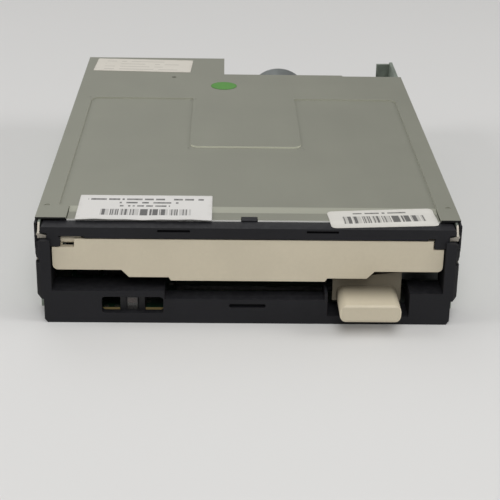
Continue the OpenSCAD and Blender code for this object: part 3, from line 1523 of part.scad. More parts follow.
module upper_arm() {
    tip_y = head_y - 3.5;
    color(POLYMER) from_front() lifted() difference() {
        union() {
            along_z(arm_z) polygon([[-6, arm_hinge_y + 1.4], [6, arm_hinge_y + 1.4], [6, arm_hinge_y - 8],
                [4, head_y + 4], [4, tip_y], [-4, tip_y], [-4, head_y + 4], [-6, arm_hinge_y - 8]]);
            both_sides() along_z([arm_z[1] - 0.1, arm_z[1] + 0.9])
                polygon([[5, arm_hinge_y - 3], [6, arm_hinge_y - 3], [6, arm_hinge_y - 8], [4, head_y + 4],
                    [3, head_y + 4], [5, arm_hinge_y - 8]]);
            bar_x([-6, 6], arm_hinge_y, arm_hinge_z, arm_pin_r + 0.7);
            span([-3.2, 3.2], [head_y - 3.4, head_y + 3.4], [upper_head_z + 0.85, arm_z[0] + 0.1]);
        }
        bar_x([-7, 7], arm_hinge_y, arm_hinge_z, arm_pin_r);
        span([-2.6, 2.6], [arm_hinge_y - 3.2, arm_hinge_y + 3], [arm_hinge_z - 4, arm_hinge_z + 4]);
        span([-2.5, 2.5], [head_y + 5.5, arm_hinge_y - 6], [arm_z[0] - 1, arm_z[1] + 1]);
    }
}

// Height of the upper head's face when the arm is down
upper_head_z = lower_head_top + head_gap;

module upper_head() {
    color("#57585a") from_front() lifted()
        translate([0, head_y, upper_head_z]) mirror([0, 0, 1]) head_slider();
}

module arm_hinge_pin() {
    color(ZINC) from_front()
        bar_x([-rear_block_half_w + 0.7, rear_block_half_w - 0.7], arm_hinge_y, arm_hinge_z, arm_pin_r);
}

// Round section set off from the axis and twisted, so that it forms one long thread
module lead_screw() {
    y = [screw_front + bracket_t + 0.6, stepper_front - bracket_t - 1];
    length = y[1] - y[0];
    turn = 360 * length / screw_lead;
    // Angle at the rear end that puts the groove on the follower's side at the follower's depth
    phase = 360 * (y[1] - follower_y) / screw_lead;
    color("#c9cccd") from_front() translate([screw_x, 0, screw_z]) {
        translate([0, y[1], 0]) rotate([90, 0, 0]) rotate(phase)
            linear_extrude(length, twist = turn, slices = round(length * 3), $fn = 12)
                translate([screw_offset, 0]) circle(screw_r, $fn = 12);
        bar_y(0, [screw_front + 0.1, y[0] + 0.2], 0, journal_r);
        bar_y(0, [y[1] - 0.2, stepper_front + 2], 0, journal_r);
    }
}

slide_spring_len = slide_spring_y[1] - slide_spring_y[0];
spring_gaps = [
    self_gap(pull_spring(slide_spring_r, slide_spring_len, slide_spring_curls, wire_r), wire_r),
    self_gap(coil(door_spring_r, 2 * fine_wire_r + 0.45, door_spring_curls), fine_wire_r),
    self_gap(coil(lever_spring_r, 2 * wire_r + 0.45, lever_spring_curls), wire_r),
    self_gap(coil(arm_spring_r, 2 * fine_wire_r + 0.45, arm_spring_curls), fine_wire_r)
];
echo("least gaps within the springs", spring_gaps);

chassis_tray();
top_cover();
front_bezel();
motor_board();
stator_core();
stator_coils();
spindle_sleeve();
motor_screws();
main_board();
signal_header();
signal_pins();
power_connector();
power_pins();
controller_chips();
board_components();
board_screws();
stepper_can();
stepper_bracket();
stepper_screws();
guide_rods();
rod_clamps();
clamp_screws();
track_zero_sensor();
status_led();
led_holder();
switch_bodies();
door_spring();
slide_springs();
motor_ribbon();
head_ribbon();
dust_door();
eject_slide();
eject_button();
disk_carrier();
carrier_pins();
lever_pivot();
lever_spring();
eject_lever();
rotor_yoke();
rotor_magnet();
hub_table();
spindle_shaft();
drive_pin();
head_carriage();
lower_head();
screw_follower();
upper_arm();
upper_head();
arm_hinge_pin();
arm_spring();
lead_screw();
density_plunger();
protect_plunger();
presence_plunger();
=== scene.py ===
"""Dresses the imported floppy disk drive: finishes, softened edges, labels, wound wire and a plain studio."""
import json
import logging
import math
from dataclasses import dataclass
from enum import Enum
from functools import reduce
from typing import Any, Callable, Dict, List, Optional, Sequence, Tuple, Union

import bmesh
import bpy
import numpy as np
from mathutils import Matrix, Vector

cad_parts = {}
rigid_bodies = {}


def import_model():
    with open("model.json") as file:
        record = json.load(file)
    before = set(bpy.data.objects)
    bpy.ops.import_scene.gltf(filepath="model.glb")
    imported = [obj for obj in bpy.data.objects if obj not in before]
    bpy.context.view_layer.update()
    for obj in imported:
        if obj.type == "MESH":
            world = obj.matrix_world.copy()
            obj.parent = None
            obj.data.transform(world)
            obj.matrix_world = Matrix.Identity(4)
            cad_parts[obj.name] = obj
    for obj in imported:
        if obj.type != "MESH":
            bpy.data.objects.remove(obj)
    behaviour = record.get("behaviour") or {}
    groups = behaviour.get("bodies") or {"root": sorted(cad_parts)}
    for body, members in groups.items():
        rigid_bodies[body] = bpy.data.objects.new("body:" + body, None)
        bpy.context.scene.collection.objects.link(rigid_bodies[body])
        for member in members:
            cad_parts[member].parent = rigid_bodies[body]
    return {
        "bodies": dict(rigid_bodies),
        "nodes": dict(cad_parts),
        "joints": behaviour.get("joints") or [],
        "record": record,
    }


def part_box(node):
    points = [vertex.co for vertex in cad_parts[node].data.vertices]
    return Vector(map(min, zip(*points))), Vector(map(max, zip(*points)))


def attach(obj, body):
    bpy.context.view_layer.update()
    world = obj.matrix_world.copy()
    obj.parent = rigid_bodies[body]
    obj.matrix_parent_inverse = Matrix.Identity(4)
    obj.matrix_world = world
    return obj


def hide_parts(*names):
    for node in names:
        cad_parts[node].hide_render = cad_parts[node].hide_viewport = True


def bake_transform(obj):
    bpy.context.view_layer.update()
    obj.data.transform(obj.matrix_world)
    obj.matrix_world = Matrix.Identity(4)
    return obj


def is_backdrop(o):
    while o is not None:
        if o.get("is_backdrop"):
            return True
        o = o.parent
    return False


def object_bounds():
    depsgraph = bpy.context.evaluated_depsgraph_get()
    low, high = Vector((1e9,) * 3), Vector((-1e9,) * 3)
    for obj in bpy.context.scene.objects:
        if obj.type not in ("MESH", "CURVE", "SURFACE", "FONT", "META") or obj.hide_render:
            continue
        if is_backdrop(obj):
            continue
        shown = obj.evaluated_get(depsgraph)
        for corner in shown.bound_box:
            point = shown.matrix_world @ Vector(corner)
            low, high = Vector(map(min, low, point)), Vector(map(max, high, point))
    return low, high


LOG = logging.getLogger("drive")
MM = 0.001
# Depth of the part's origin behind the bezel's lower face, in millimetres
SETBACK = 66.0
# Distance in metres under which corners of a copied node are one
WELD = 2e-6
# Angle in degrees under which its faces are one
FLAT = 0.5
# Angle in degrees from which an edge is rounded
ROUNDED = 32.0

Colour = Tuple[float, float, float]
Place = Tuple[float, float, float]
Span = Tuple[float, float]
Row = Tuple[float, float, float, float]
Mesh = Tuple[np.ndarray, List[List[int]]]
Material = bpy.types.Material
Piece = bpy.types.Object
Value = Union["Wire", float]


class Look(Enum):
    """Finishes of the drive's pieces."""

    COVER = "cover_lacquer"
    TRAY = "tray_plating"
    ZINC = "zinc_plating"
    BRIGHT = "bright_steel"
    SPRING = "spring_wire"
    BRASS = "turned_brass"
    COPPER = "wound_copper"
    BLACK = "black_moulding"
    DARK = "dark_moulding"
    CREAM = "cream_moulding"
    BUTTON = "button_moulding"
    WHITE = "white_moulding"
    CARRIAGE = "carriage_moulding"
    BOARD = "board_laminate"
    FILM = "ribbon_film"
    LAMP = "lamp_body"


class Body(Enum):
    """Moving groups of the drive."""

    BASE = "base"
    DOOR = "dust_door"
    SLIDE = "eject_slide"
    CARRIAGE = "head_carriage"


def math_method(operation: str, swapped: bool = False) -> Callable[..., "Wire"]:
    """Makes a method of Wire that adds one Math node.

    Args:
        operation: the Math node's operation.
        swapped: whether the other value comes first, as in a reflected form.

    Returns:
        The method.
    """
    def method(self: "Wire", *other: Value) -> "Wire":
        """This socket and the other value, if there is one, put through the operation."""
        return self.recipe.maths(operation, *((*other, self) if swapped else (self, *other)))
    return method


class Wire:
    """One socket of a shader, which takes part in sums as a number does.

    A comparison gives one or nought, and part is what is left above the whole number below.
    """

    def __init__(self, recipe: "Recipe", socket: bpy.types.NodeSocket) -> None:
        """Keeps the socket and the recipe that its sums are added to."""
        self.recipe = recipe
        self.socket = socket

    __add__, __radd__ = math_method("ADD"), math_method("ADD", True)
    __sub__, __rsub__ = math_method("SUBTRACT"), math_method("SUBTRACT", True)
    __mul__, __rmul__ = math_method("MULTIPLY"), math_method("MULTIPLY", True)
    __truediv__, __rtruediv__ = math_method("DIVIDE"), math_method("DIVIDE", True)
    __pow__, __rpow__ = math_method("POWER"), math_method("POWER", True)
    __lt__, __gt__ = math_method("LESS_THAN"), math_method("GREATER_THAN")
    least, most = math_method("MINIMUM"), math_method("MAXIMUM")
    __abs__, floor, part = math_method("ABSOLUTE"), math_method("FLOOR"), math_method("FRACT")

    def rise(self, low: float, high: float) -> "Wire":
        """Smooth step from nought at low to one at high."""
        settings = {"interpolation_type": "SMOOTHSTEP"}
        made = self.recipe.node("ShaderNodeMapRange", settings, {0: self, 1: low, 2: high})
        return Wire(self.recipe, made.outputs[0])

    def fall(self, low: float, high: float) -> "Wire":
        """Smooth step from one at low to nought at high."""
        return 1 - self.rise(low, high)


class Recipe:
    """A material under construction."""

    def __init__(self, name: str) -> None:
        """Makes an empty node material of that name."""
        self.material = bpy.data.materials.new(name)
        self.material.use_nodes = True
        self.tree = self.material.node_tree
        self.tree.nodes.clear()
        self.found: Dict[str, Any] = {}

    def node(self, kind: str, settings: Optional[Dict[str, Any]] = None,
             inputs: Optional[Dict[Any, Any]] = None) -> bpy.types.Node:
        """Adds one node.

        Args:
            kind: the node's type.
            settings: its own settings, set before its sockets.
            inputs: values or wires by socket name or number.

        Returns:
            The node.
        """
        made = self.tree.nodes.new(kind)
        for key, value in (settings or {}).items():
            setattr(made, key, value)
        for key, value in (inputs or {}).items():
            if isinstance(value, Wire):
                self.tree.links.new(value.socket, made.inputs[key])
            else:
                made.inputs[key].default_value = value
        return made

    def maths(self, operation: str, *values: Value) -> Wire:
        """Adds one Math node for an expression."""
        made = self.node("ShaderNodeMath", {"operation": operation}, dict(enumerate(values)))
        return Wire(self, made.outputs[0])

    def coordinates(self, output: str) -> Wire:
        """An output of the one Texture Coordinate node, as Object, Normal or UV."""
        if "coordinates" not in self.found:
            self.found["coordinates"] = self.node("ShaderNodeTexCoord")
        return Wire(self, self.found["coordinates"].outputs[output])

    def parts(self, vector: Wire) -> Tuple[Wire, ...]:
        """The three parts of a vector."""
        made = self.node("ShaderNodeSeparateXYZ", None, {0: vector})
        return tuple(Wire(self, socket) for socket in made.outputs)

    def split(self, output: str) -> Tuple[Wire, ...]:
        """The three parts of an output of the Texture Coordinate node, where Object is in metres."""
        if output not in self.found:
            self.found[output] = self.parts(self.coordinates(output))
        return self.found[output]

    def spot(self) -> Tuple[Wire, ...]:
        """Place across, depth behind the bezel's face and height, in millimetres."""
        if "spot" not in self.found:
            inputs = {0: self.coordinates("Object"), 1: (1 / MM,) * 3, 2: (0.0, SETBACK, 0.0)}
            made = self.node("ShaderNodeVectorMath", {"operation": "MULTIPLY_ADD"}, inputs)
            self.found["spot"] = self.parts(Wire(self, made.outputs[0]))
        return self.found["spot"]

    def noise(self, size: float, detail: float = 3.0, rough: float = 0.5,
              along: Place = (1.0, 1.0, 1.0), turn: float = 0.0) -> Wire:
        """Cloud-like noise from nought to one.

        Args:
            size: size of its features in millimetres.
            detail: how many finer layers it has.
            rough: strength of the finer layers.
            along: stretch, where a lower number makes longer features.
            turn: turn of the stretch about Z in radians.

        Returns:
            The noise's factor.
        """
        mapped = {0: self.coordinates("Object"), 2: (0.0, 0.0, turn), 3: along}
        vector = Wire(self, self.node("ShaderNodeMapping", None, mapped).outputs[0])
        inputs = {"Vector": vector, "Scale": 1 / (size * MM), "Detail": detail, "Roughness": rough}
        return Wire(self, self.node("ShaderNodeTexNoise", None, inputs).outputs[0])

    def cells(self, size: float, output: str = "Distance", feature: str = "F1") -> Wire:
        """Cell pattern of that cell size in millimetres."""
        inputs = {"Vector": self.coordinates("Object"), "Scale": 1 / (size * MM)}
        return Wire(self, self.node("ShaderNodeTexVoronoi", {"feature": feature}, inputs).outputs[output])

    def chance(self, seed: Wire) -> Wire:
        """A random number from nought to one for each value of the seed."""
        made = self.node("ShaderNodeTexWhiteNoise", {"noise_dimensions": "1D"}, {"W": seed})
        return Wire(self, made.outputs[0])

    def apart(self, x: float, y: float) -> Wire:
        """Distance in plan from a place, both in millimetres, with its depth behind the bezel's face."""
        across, depth, _ = self.spot()
        return ((across - x) * (across - x) + (depth - y) * (depth - y)) ** 0.5

    def tint(self, share: Value, low: Any, high: Any) -> Wire:
        """Mixes two colours, each a wire or a plain colour, by a share from nought to one."""
        full = [c if isinstance(c, Wire) else (*c, 1.0) for c in (low, high)]
        settings = {"data_type": "RGBA", "blend_type": "MIX", "clamp_factor": True}
        made = self.node("ShaderNodeMix", settings, {0: share, 6: full[0], 7: full[1]})
        return Wire(self, made.outputs[2])

    def relief(self, height: Wire, depth: float, strength: float, over: Optional[Wire] = None) -> Wire:
        """Bump of that depth in millimetres over an earlier normal."""
        inputs: Dict[Any, Any] = {"Strength": strength, "Distance": depth * MM, "Height": height}
        if over is not None:
            inputs["Normal"] = over
        return Wire(self, self.node("ShaderNodeBump", None, inputs).outputs[0])

    def finish(self, **inputs: Any) -> Material:
        """Closes the recipe with one shader.

        Args:
            inputs: the shader's sockets, with underscores for spaces.

        Returns:
            The material.
        """
        named = {key.replace("_", " ").replace("Ior", "IOR"): value for key, value in inputs.items()}
        shader = self.node("ShaderNodeBsdfPrincipled", None, named)
        self.node("ShaderNodeOutputMaterial", None, {"Surface": Wire(self, shader.outputs[0])})
        return self.material


def shade(colour: Colour, by: float) -> Colour:
    """The colour times a number, each part held under one."""
    return tuple(min(part * by, 1.0) for part in colour)


@dataclass(frozen=True)
class Finish:
    """What every finish has: its colour, in linear light."""

    colour: Colour

    def at(self, share: float) -> Colour:
        """The colour at a share of its tone."""
        return shade(self.colour, share)

    def build(self, name: str) -> Material:
        """Makes the material of that name."""
        raise NotImplementedError


@dataclass(frozen=True)
class LacqueredSheet(Finish):
    """Satin clear-coated steel sheet: clouding, wipe marks, a few specks, and cut edges of bare steel with
    painted highlight and shade.

    Places are in millimetres, and depths count from the bezel's face. The bend is the slope behind the front
    lip, drawn lighter as a painted highlight. The press limits hold the walls of the pressed pattern, which
    carry a painted highlight, and those ahead of lit_to that look forward are painted the brightest. The
    marks are small round pressed spots.
    """

    marks: Tuple[Span, ...]
    mark_r: float = 0.9
    metal: float = 0.35
    gloss: float = 0.42
    # Cut edge at the lip: bare steel, drawn near white as a painted highlight
    edge: Colour = (1.0, 0.99, 0.95)
    edge_to: float = 5.62
    # Painted shade on the cut edge at the corners and on faces that look down
    shaded: Colour = (0.012, 0.012, 0.012)
    corner_to: float = 5.2
    bend: Span = (10.2, 13.4)
    lip_ends: Span = (-43.5, 46.0)
    # Painted highlight: how much lighter the bend's slope is drawn
    slope_highlight: float = 1.42
    press_half: float = 46.9
    press_z: float = 24.75
    press_to: float = 103.0
    # Painted highlight on the pressed walls: pressed for all of them, lit for those that face forward ahead
    # of lit_to
    pressed: float = 1.45
    lit_to: float = 80.0
    lit: float = 2.3

    def build(self, name: str) -> Material:
        """Clouds and streaks vary the tone, bends and pressed walls carry a painted highlight and marks have
        dark rims.

        The cut front edge and faces that look down take bare steel with a painted highlight at the lip, and
        painted shade at the corners and further back.
        """
        r = Recipe(name)
        x, depth, z = r.spot()
        _, along, up = r.split("Normal")
        cloud = r.noise(28, 4, 0.55)
        wipe = r.noise(9, 3, 0.6, (1.0, 0.22, 1.0), 0.5)
        peel = r.noise(0.45, 2, 0.5)
        streak = r.noise(0.5, 2, 0.5, (1.0, 0.02, 1.0))
        tone = cloud.rise(0.3, 0.72) * 0.55 + wipe.rise(0.35, 0.75) * 0.3 + streak * 0.15
        base = r.tint(tone, self.at(0.95), self.at(1.05))
        # Painted highlight on the bend's slope behind the front lip
        middle, half = sum(self.lip_ends) / 2, (self.lip_ends[1] - self.lip_ends[0]) / 2
        slope = (abs(x - middle) < half) * (depth > self.bend[0]) * (depth < self.bend[1])
        base = r.tint(slope * up.rise(0.9, 0.96), base, self.at(self.slope_highlight))
        # Painted highlight on the pressed walls, strongest where they face forward
        walls = (abs(x) < self.press_half) * (z > self.press_z) * (depth < self.press_to)
        ahead = along.fall(-0.5, -0.2) * (depth < self.lit_to)
        facing = r.tint(ahead, self.at(self.pressed), self.at(self.lit))
        base = r.tint(walls * up.rise(-0.3, -0.1) * up.fall(0.9, 0.985), base, facing)
        speck = r.cells(7.5).fall(0.02, 0.035) * r.noise(17, 1).rise(0.58, 0.62)
        base = r.tint(speck * 0.4, base, self.at(0.5))
        away = [r.apart(*mark) for mark in self.marks]
        level = up.rise(0.8, 0.95)
        rims = reduce(Wire.most, [abs(far - self.mark_r).fall(0.0, 0.3) for far in away])
        base = r.tint(rims * level * 0.3, base, self.at(0.5))
        # Forward faces at the front and faces that look down: bare steel with a painted highlight ahead of
        # corner_to, painted shade behind it
        front = (depth < self.edge_to) * along.fall(-0.75, -0.3)
        below = up.fall(-0.85, -0.5)
        base = r.tint(front.most(below), base, r.tint(depth > self.corner_to, self.shaded, self.edge))
        rough = self.gloss + wipe * 0.1 + cloud * 0.06
        discs = reduce(Wire.most, [far.fall(self.mark_r - 0.2, self.mark_r + 0.1) for far in away])
        normal = r.relief(peel * 0.6 + streak * 0.4, 0.012, 0.35)
        normal = r.relief(discs * level, -0.08, 0.8, normal)
        return r.finish(Base_Color=base, Metallic=self.metal, Roughness=rough, Normal=normal)


@dataclass(frozen=True)
class PlatedSheet(Finish):
    """Zinc-plated sheet with a soft spangle, rolling streaks and dull patches, bare at its foremost edges."""

    gloss: float = 0.34
    spangle: float = 2.4
    bare: Colour = (0.4, 0.37, 0.32)
    bare_to: float = 0.0

    def build(self, name: str) -> Material:
        """Cells of random tone make the spangle, and a stretched noise the rolling streaks."""
        r = Recipe(name)
        parted = r.node("ShaderNodeSeparateColor", None, {0: r.cells(self.spangle, "Color")})
        grain = Wire(r, parted.outputs[0])
        streak = r.noise(0.6, 2, 0.5, (1.0, 0.03, 1.0))
        dull = r.noise(11, 4, 0.6)
        tone = grain * 0.4 + streak * 0.3 + dull.rise(0.3, 0.7) * 0.3
        base = r.tint(tone, self.at(0.8), self.at(1.15))
        stain = r.noise(5, 5, 0.65).rise(0.62, 0.8)
        base = r.tint(stain * 0.3, base, self.at(0.5))
        if self.bare_to:
            _, along, _ = r.split("Normal")
            ahead = r.spot()[1] < self.bare_to
            base = r.tint(ahead * along.fall(-0.6, -0.2), base, self.bare)
        rough = self.gloss + grain * 0.1 + dull * 0.1 + stain * 0.15
        normal = r.relief(grain * 0.3 + streak * 0.7, 0.01, 0.3)
        return r.finish(Base_Color=base, Metallic=0.92, Roughness=rough, Normal=normal)


@dataclass(frozen=True)
class TurnedMetal(Finish):
    """Turned or drawn metal with fine tool lines along its length and a little tarnish."""

    gloss: float = 0.22
    pitch: float = 0.12

    def build(self, name: str) -> Material:
        """Fine noise makes the tool lines, and coarse noise the tarnish."""
        r = Recipe(name)
        lines = r.noise(self.pitch, 1, 0.5, (1.0, 4.0, 1.0))
        tarnish = r.noise(2.2, 4, 0.6).rise(0.45, 0.75)
        base = r.tint(tarnish * 0.45, self.at(1.05), self.at(0.6))
        rough = self.gloss + tarnish * 0.18 + lines * 0.06
        normal = r.relief(lines, 0.006, 0.4)
        return r.finish(Base_Color=base, Metallic=1.0, Roughness=rough, Normal=normal)


@dataclass(frozen=True)
class MouldedPlastic(Finish):
    """Moulded plastic: fine spark-eroded grain, faint mottling, settled dust that is also a painted sheen,
    rubbed spots, and painted shade where asked.
    """

    gloss: float = 0.5
    grain: float = 0.22
    depth: float = 0.02
    mottle: float = 0.06
    # Grey on faces that look up: settled dust and a painted sheen
    dust_and_sheen: float = 0.0
    dust_and_sheen_colour: Colour = (0.3, 0.29, 0.27)
    level: float = 0.4
    # Share of the colour kept on faces that look sideways; the rest is painted shade
    flank: float = 1.0
    flank_rough: float = 0.4
    # Painted shade that deepens from ahead of the bezel's face to behind it, in the recess under the door
    soil_and_shade: float = 0.0
    soil_and_shade_colour: Colour = (0.1, 0.085, 0.058)
    painted_shade_depth: Span = (-7.0, 4.0)

    def build(self, name: str) -> Material:
        """Dust and a painted sheen lie where a face looks up; painted shade may deepen behind the bezel's
        face and on side faces.

        The grain is a cell pattern.
        """
        r = Recipe(name)
        across, _, up = r.split("Normal")
        cloud = r.noise(12, 4, 0.55)
        fine = r.noise(0.9, 3, 0.6)
        tone = cloud * 0.65 + fine * 0.35
        pale, deep = self.at(1 + self.mottle), self.at(1 - self.mottle)
        base = r.tint(tone.rise(0.3, 0.7), deep, pale)
        rub = r.noise(4.5, 5, 0.65).rise(0.6, 0.78)
        base = r.tint(rub * 0.12, base, self.at(1.35))
        # Dust and a painted sheen on faces that look up
        if self.dust_and_sheen:
            dust_and_sheen_share = up.rise(0.55, 0.95) * r.noise(1.4, 5, 0.7).rise(0.35, 0.75) * self.dust_and_sheen
            base = r.tint(dust_and_sheen_share, base, self.dust_and_sheen_colour)
        # Painted shade: darker towards the back
        if self.soil_and_shade:
            behind = r.spot()[1].rise(*self.painted_shade_depth)
            base = r.tint(behind * self.soil_and_shade * (0.8 + cloud * 0.4), base, self.soil_and_shade_colour)
        pebble = r.cells(self.grain).rise(0.0, 0.75)
        rough = self.gloss + fine * 0.1 - rub * 0.12
        # Painted shade on faces that look sideways, which are also made matter
        if self.flank < 1:
            aside = abs(across).rise(0.6, 0.85)
            base = r.tint(aside * (1 - self.flank), base, (0.0, 0.0, 0.0))
            rough = rough + aside * self.flank_rough
        normal = r.relief(pebble * 0.6 + r.noise(self.grain * 0.7, 2) * 0.4, self.depth, 0.5)
        return r.finish(Base_Color=base, Roughness=rough, Normal=normal, Specular_Ior_Level=self.level)


@dataclass(frozen=True)
class LaminateBoard(Finish):
    """Circuit board: green mask over traces, tinned pads, golden cut edge with its fibre layers."""

    edge: Colour = (0.3, 0.225, 0.09)
    # Painted shade: the near-black that cut edges behind edge_to take instead of gold
    inner: Colour = (0.02, 0.028, 0.016)
    edge_to: float = 10.0
    trace: Colour = (0.014, 0.06, 0.028)
    pad: Colour = (0.3, 0.29, 0.26)
    raster: float = 2.54

    def build(self, name: str) -> Material:
        """Bands of a cell pattern make traces, and discs on a raster, thinned by chance, make pads."""
        r = Recipe(name)
        x, y, _ = r.split("Object")
        _, _, up = r.split("Normal")
        cell = r.cells(7.5, "Distance", "DISTANCE_TO_EDGE")
        runs = (cell * 9).part()
        lines = abs(runs - 0.5).fall(0.1, 0.2) * r.noise(15, 1).rise(0.4, 0.5)
        base = r.tint(lines * 0.75, self.colour, self.trace)
        across, along = x / (self.raster * MM), y / (self.raster * MM)
        off_x, off_y = across.part() - 0.5, along.part() - 0.5
        reach = (off_x * off_x + off_y * off_y) ** 0.5
        picked = r.chance(across.floor() * 17.3 + along.floor() * 5.7) > 0.72
        dots = reach.fall(0.24, 0.28) * picked
        base = r.tint(dots, base, self.pad)
        flat = abs(up).rise(0.5, 0.7)
        layer = r.noise(0.12, 2, 0.5, (0.05, 0.05, 1.0))
        gold = r.tint(layer, shade(self.edge, 0.7), shade(self.edge, 1.3))
        # Cut edges behind edge_to are painted in shade
        side = r.tint(r.spot()[1] < self.edge_to, self.inner, gold)
        base = r.tint(flat, side, base)
        metal = dots * flat * 0.9
        rough = 0.6 - flat * 0.28 + dots * 0.05
        normal = r.relief(lines * 0.5 + dots, 0.03, 0.6)
        return r.finish(Base_Color=base, Metallic=metal, Roughness=rough, Normal=normal)


@dataclass(frozen=True)
class FilmRibbon(Finish):
    """Amber film with a row of copper conductors that run along X."""

    copper: Colour = (0.5, 0.24, 0.1)
    pitch: float = 0.7

    def build(self, name: str) -> Material:
        """Conductors are bands of the depth, which lies across the film."""
        r = Recipe(name)
        run = (r.split("Object")[1] / (self.pitch * MM)).part()
        bands = abs(run - 0.5).fall(0.24, 0.3)
        cloud = r.noise(3, 3)
        base = r.tint(bands, self.at(0.9), self.copper)
        base = r.tint(cloud * 0.25, base, self.at(0.6))
        normal = r.relief(bands, 0.02, 0.6)
        return r.finish(Base_Color=base, Roughness=0.3 + cloud * 0.12, Normal=normal, Coat_Weight=0.3)


@dataclass(frozen=True)
class WoundCopper(Finish):
    """Enamelled copper wire of the spindle motor's poles, darker where its varnish is thick."""

    def build(self, name: str) -> Material:
        """Fine noise varies the varnish, and coarser noise leaves drips of it."""
        r = Recipe(name)
        vary = r.noise(0.8, 3)
        drip = r.noise(2.4, 4, 0.6).rise(0.55, 0.75)
        base = r.tint(vary.rise(0.3, 0.7), self.at(0.65), self.at(1.15))
        base = r.tint(drip * 0.5, base, self.at(0.4))
        normal = r.relief(vary, 0.01, 0.3)
        rough = 0.3 + vary * 0.12
        return r.finish(Base_Color=base, Metallic=0.8, Roughness=rough, Normal=normal, Coat_Weight=0.4)


@dataclass(frozen=True)
class LampBody(Finish):
    """Clouded clear resin of an unlit lamp, with its frame of metal showing as a warm patch inside."""

    core: Colour = (0.062, 0.044, 0.039)
    middle: Span = (-27.9, 4.95)

    def build(self, name: str) -> Material:
        """The warm patch is a soft rectangle in the lamp's upper half, seen from the front."""
        r = Recipe(name)
        x, _, z = r.spot()
        wide = abs(x - self.middle[0]).fall(0.95, 1.2)
        tall = abs(z - self.middle[1]).fall(0.5, 0.75)
        haze = r.noise(0.5, 3)
        base = r.tint(wide * tall, self.colour, self.core)
        base = r.tint(haze * 0.2, base, self.at(1.4))
        normal = r.relief(haze, 0.01, 0.3)
        return r.finish(Base_Color=base, Roughness=0.22 + haze * 0.1, Normal=normal, Coat_Weight=0.5)


@dataclass(frozen=True)
class Paper(Finish):
    """Paper label with plain marks: rows of dashes and one row of upright bars, no lettering.

    Each row is its two depths from the label's front edge and its two ends, in millimetres on the label.
    """

    size: Span
    rows: Tuple[Row, ...]
    bars: Optional[Row] = None
    ink: Colour = (0.03, 0.03, 0.032)
    dash: float = 0.9
    bar: float = 0.25
    fade: float = 0.9
    # Real soil at the label's rim
    soil_and_shade: float = 0.15
    soil_and_shade_colour: Colour = (0.2, 0.17, 0.12)

    @staticmethod
    def strip(across: Wire, down: Wire, row: Row) -> Wire:
        """One inside a row, else nought."""
        low, high, start, end = row
        return (down > low) * (down < high) * (across > start) * (across < end)

    def build(self, name: str) -> Material:
        """Rows are strips in the sheet's own map, cut into marks of random tone. Soil gathers at the rim."""
        r = Recipe(name)
        u, v, _ = r.split("UV")
        across, down = u * self.size[0], v * self.size[1]
        fibre = r.noise(0.35, 3, 0.6)
        cloud = r.noise(6, 4, 0.6)
        base = r.tint(cloud * 0.6 + fibre * 0.4, self.at(0.9), self.at(1.04))
        rim = (u.least(1 - u) * self.size[0]).least(v.least(1 - v) * self.size[1])
        grime = rim.fall(0.0, 1.6) * r.noise(2.2, 4, 0.6).rise(0.35, 0.8)
        base = r.tint(grime * self.soil_and_shade, base, self.soil_and_shade_colour)
        inks = []
        for number, row in enumerate(self.rows):
            lot = r.chance((across / self.dash + number * 37.0).floor() + number * 91.0)
            inks.append(self.strip(across, down, row) * (lot > 0.24) * (0.72 + lot * 0.28))
        if self.bars:
            group = ((across - self.bars[2]) / (self.bar * 9.5)).part() > 0.13
            lot = r.chance((across / self.bar).floor() + 11.0)
            inks.append(self.strip(across, down, self.bars) * group * (0.3 + 0.7 * (lot > 0.45)))
        worn = 0.85 + fibre * 0.15
        base = r.tint(reduce(Wire.most, inks) * worn * self.fade, base, self.ink)
        normal = r.relief(fibre, 0.015, 0.4)
        rough = 0.62 + fibre * 0.12
        return r.finish(Base_Color=base, Roughness=rough, Normal=normal, Specular_Ior_Level=0.3)


@dataclass(frozen=True)
class DotPaper(Finish):
    """Round coloured sticker, a little faded and soiled towards its rim."""

    centre: Span
    radius: float

    def build(self, name: str) -> Material:
        """Tone follows the distance from the middle, broken by noise."""
        r = Recipe(name)
        away = r.apart(*self.centre) / self.radius
        fibre = r.noise(0.4, 3, 0.6)
        cloud = r.noise(2.6, 4, 0.6)
        base = r.tint(cloud, self.at(0.88), self.at(1.1))
        base = r.tint(away.rise(0.82, 1.0) * cloud * 0.5, base, self.at(0.55))
        normal = r.relief(fibre, 0.012, 0.4)
        return r.finish(Base_Color=base, Roughness=0.55 + fibre * 0.15, Normal=normal)


@dataclass(frozen=True)
class StudioFloor(Finish):
    """Plain pale table top with hardly any texture."""

    def build(self, name: str) -> Material:
        """Large soft clouds vary the tone by a hundredth or two."""
        r = Recipe(name)
        cloud = r.noise(180, 2)
        base = r.tint(cloud, self.at(0.985), self.at(1.01))
        return r.finish(Base_Color=base, Roughness=0.6 + cloud * 0.05, Specular_Ior_Level=0.25)


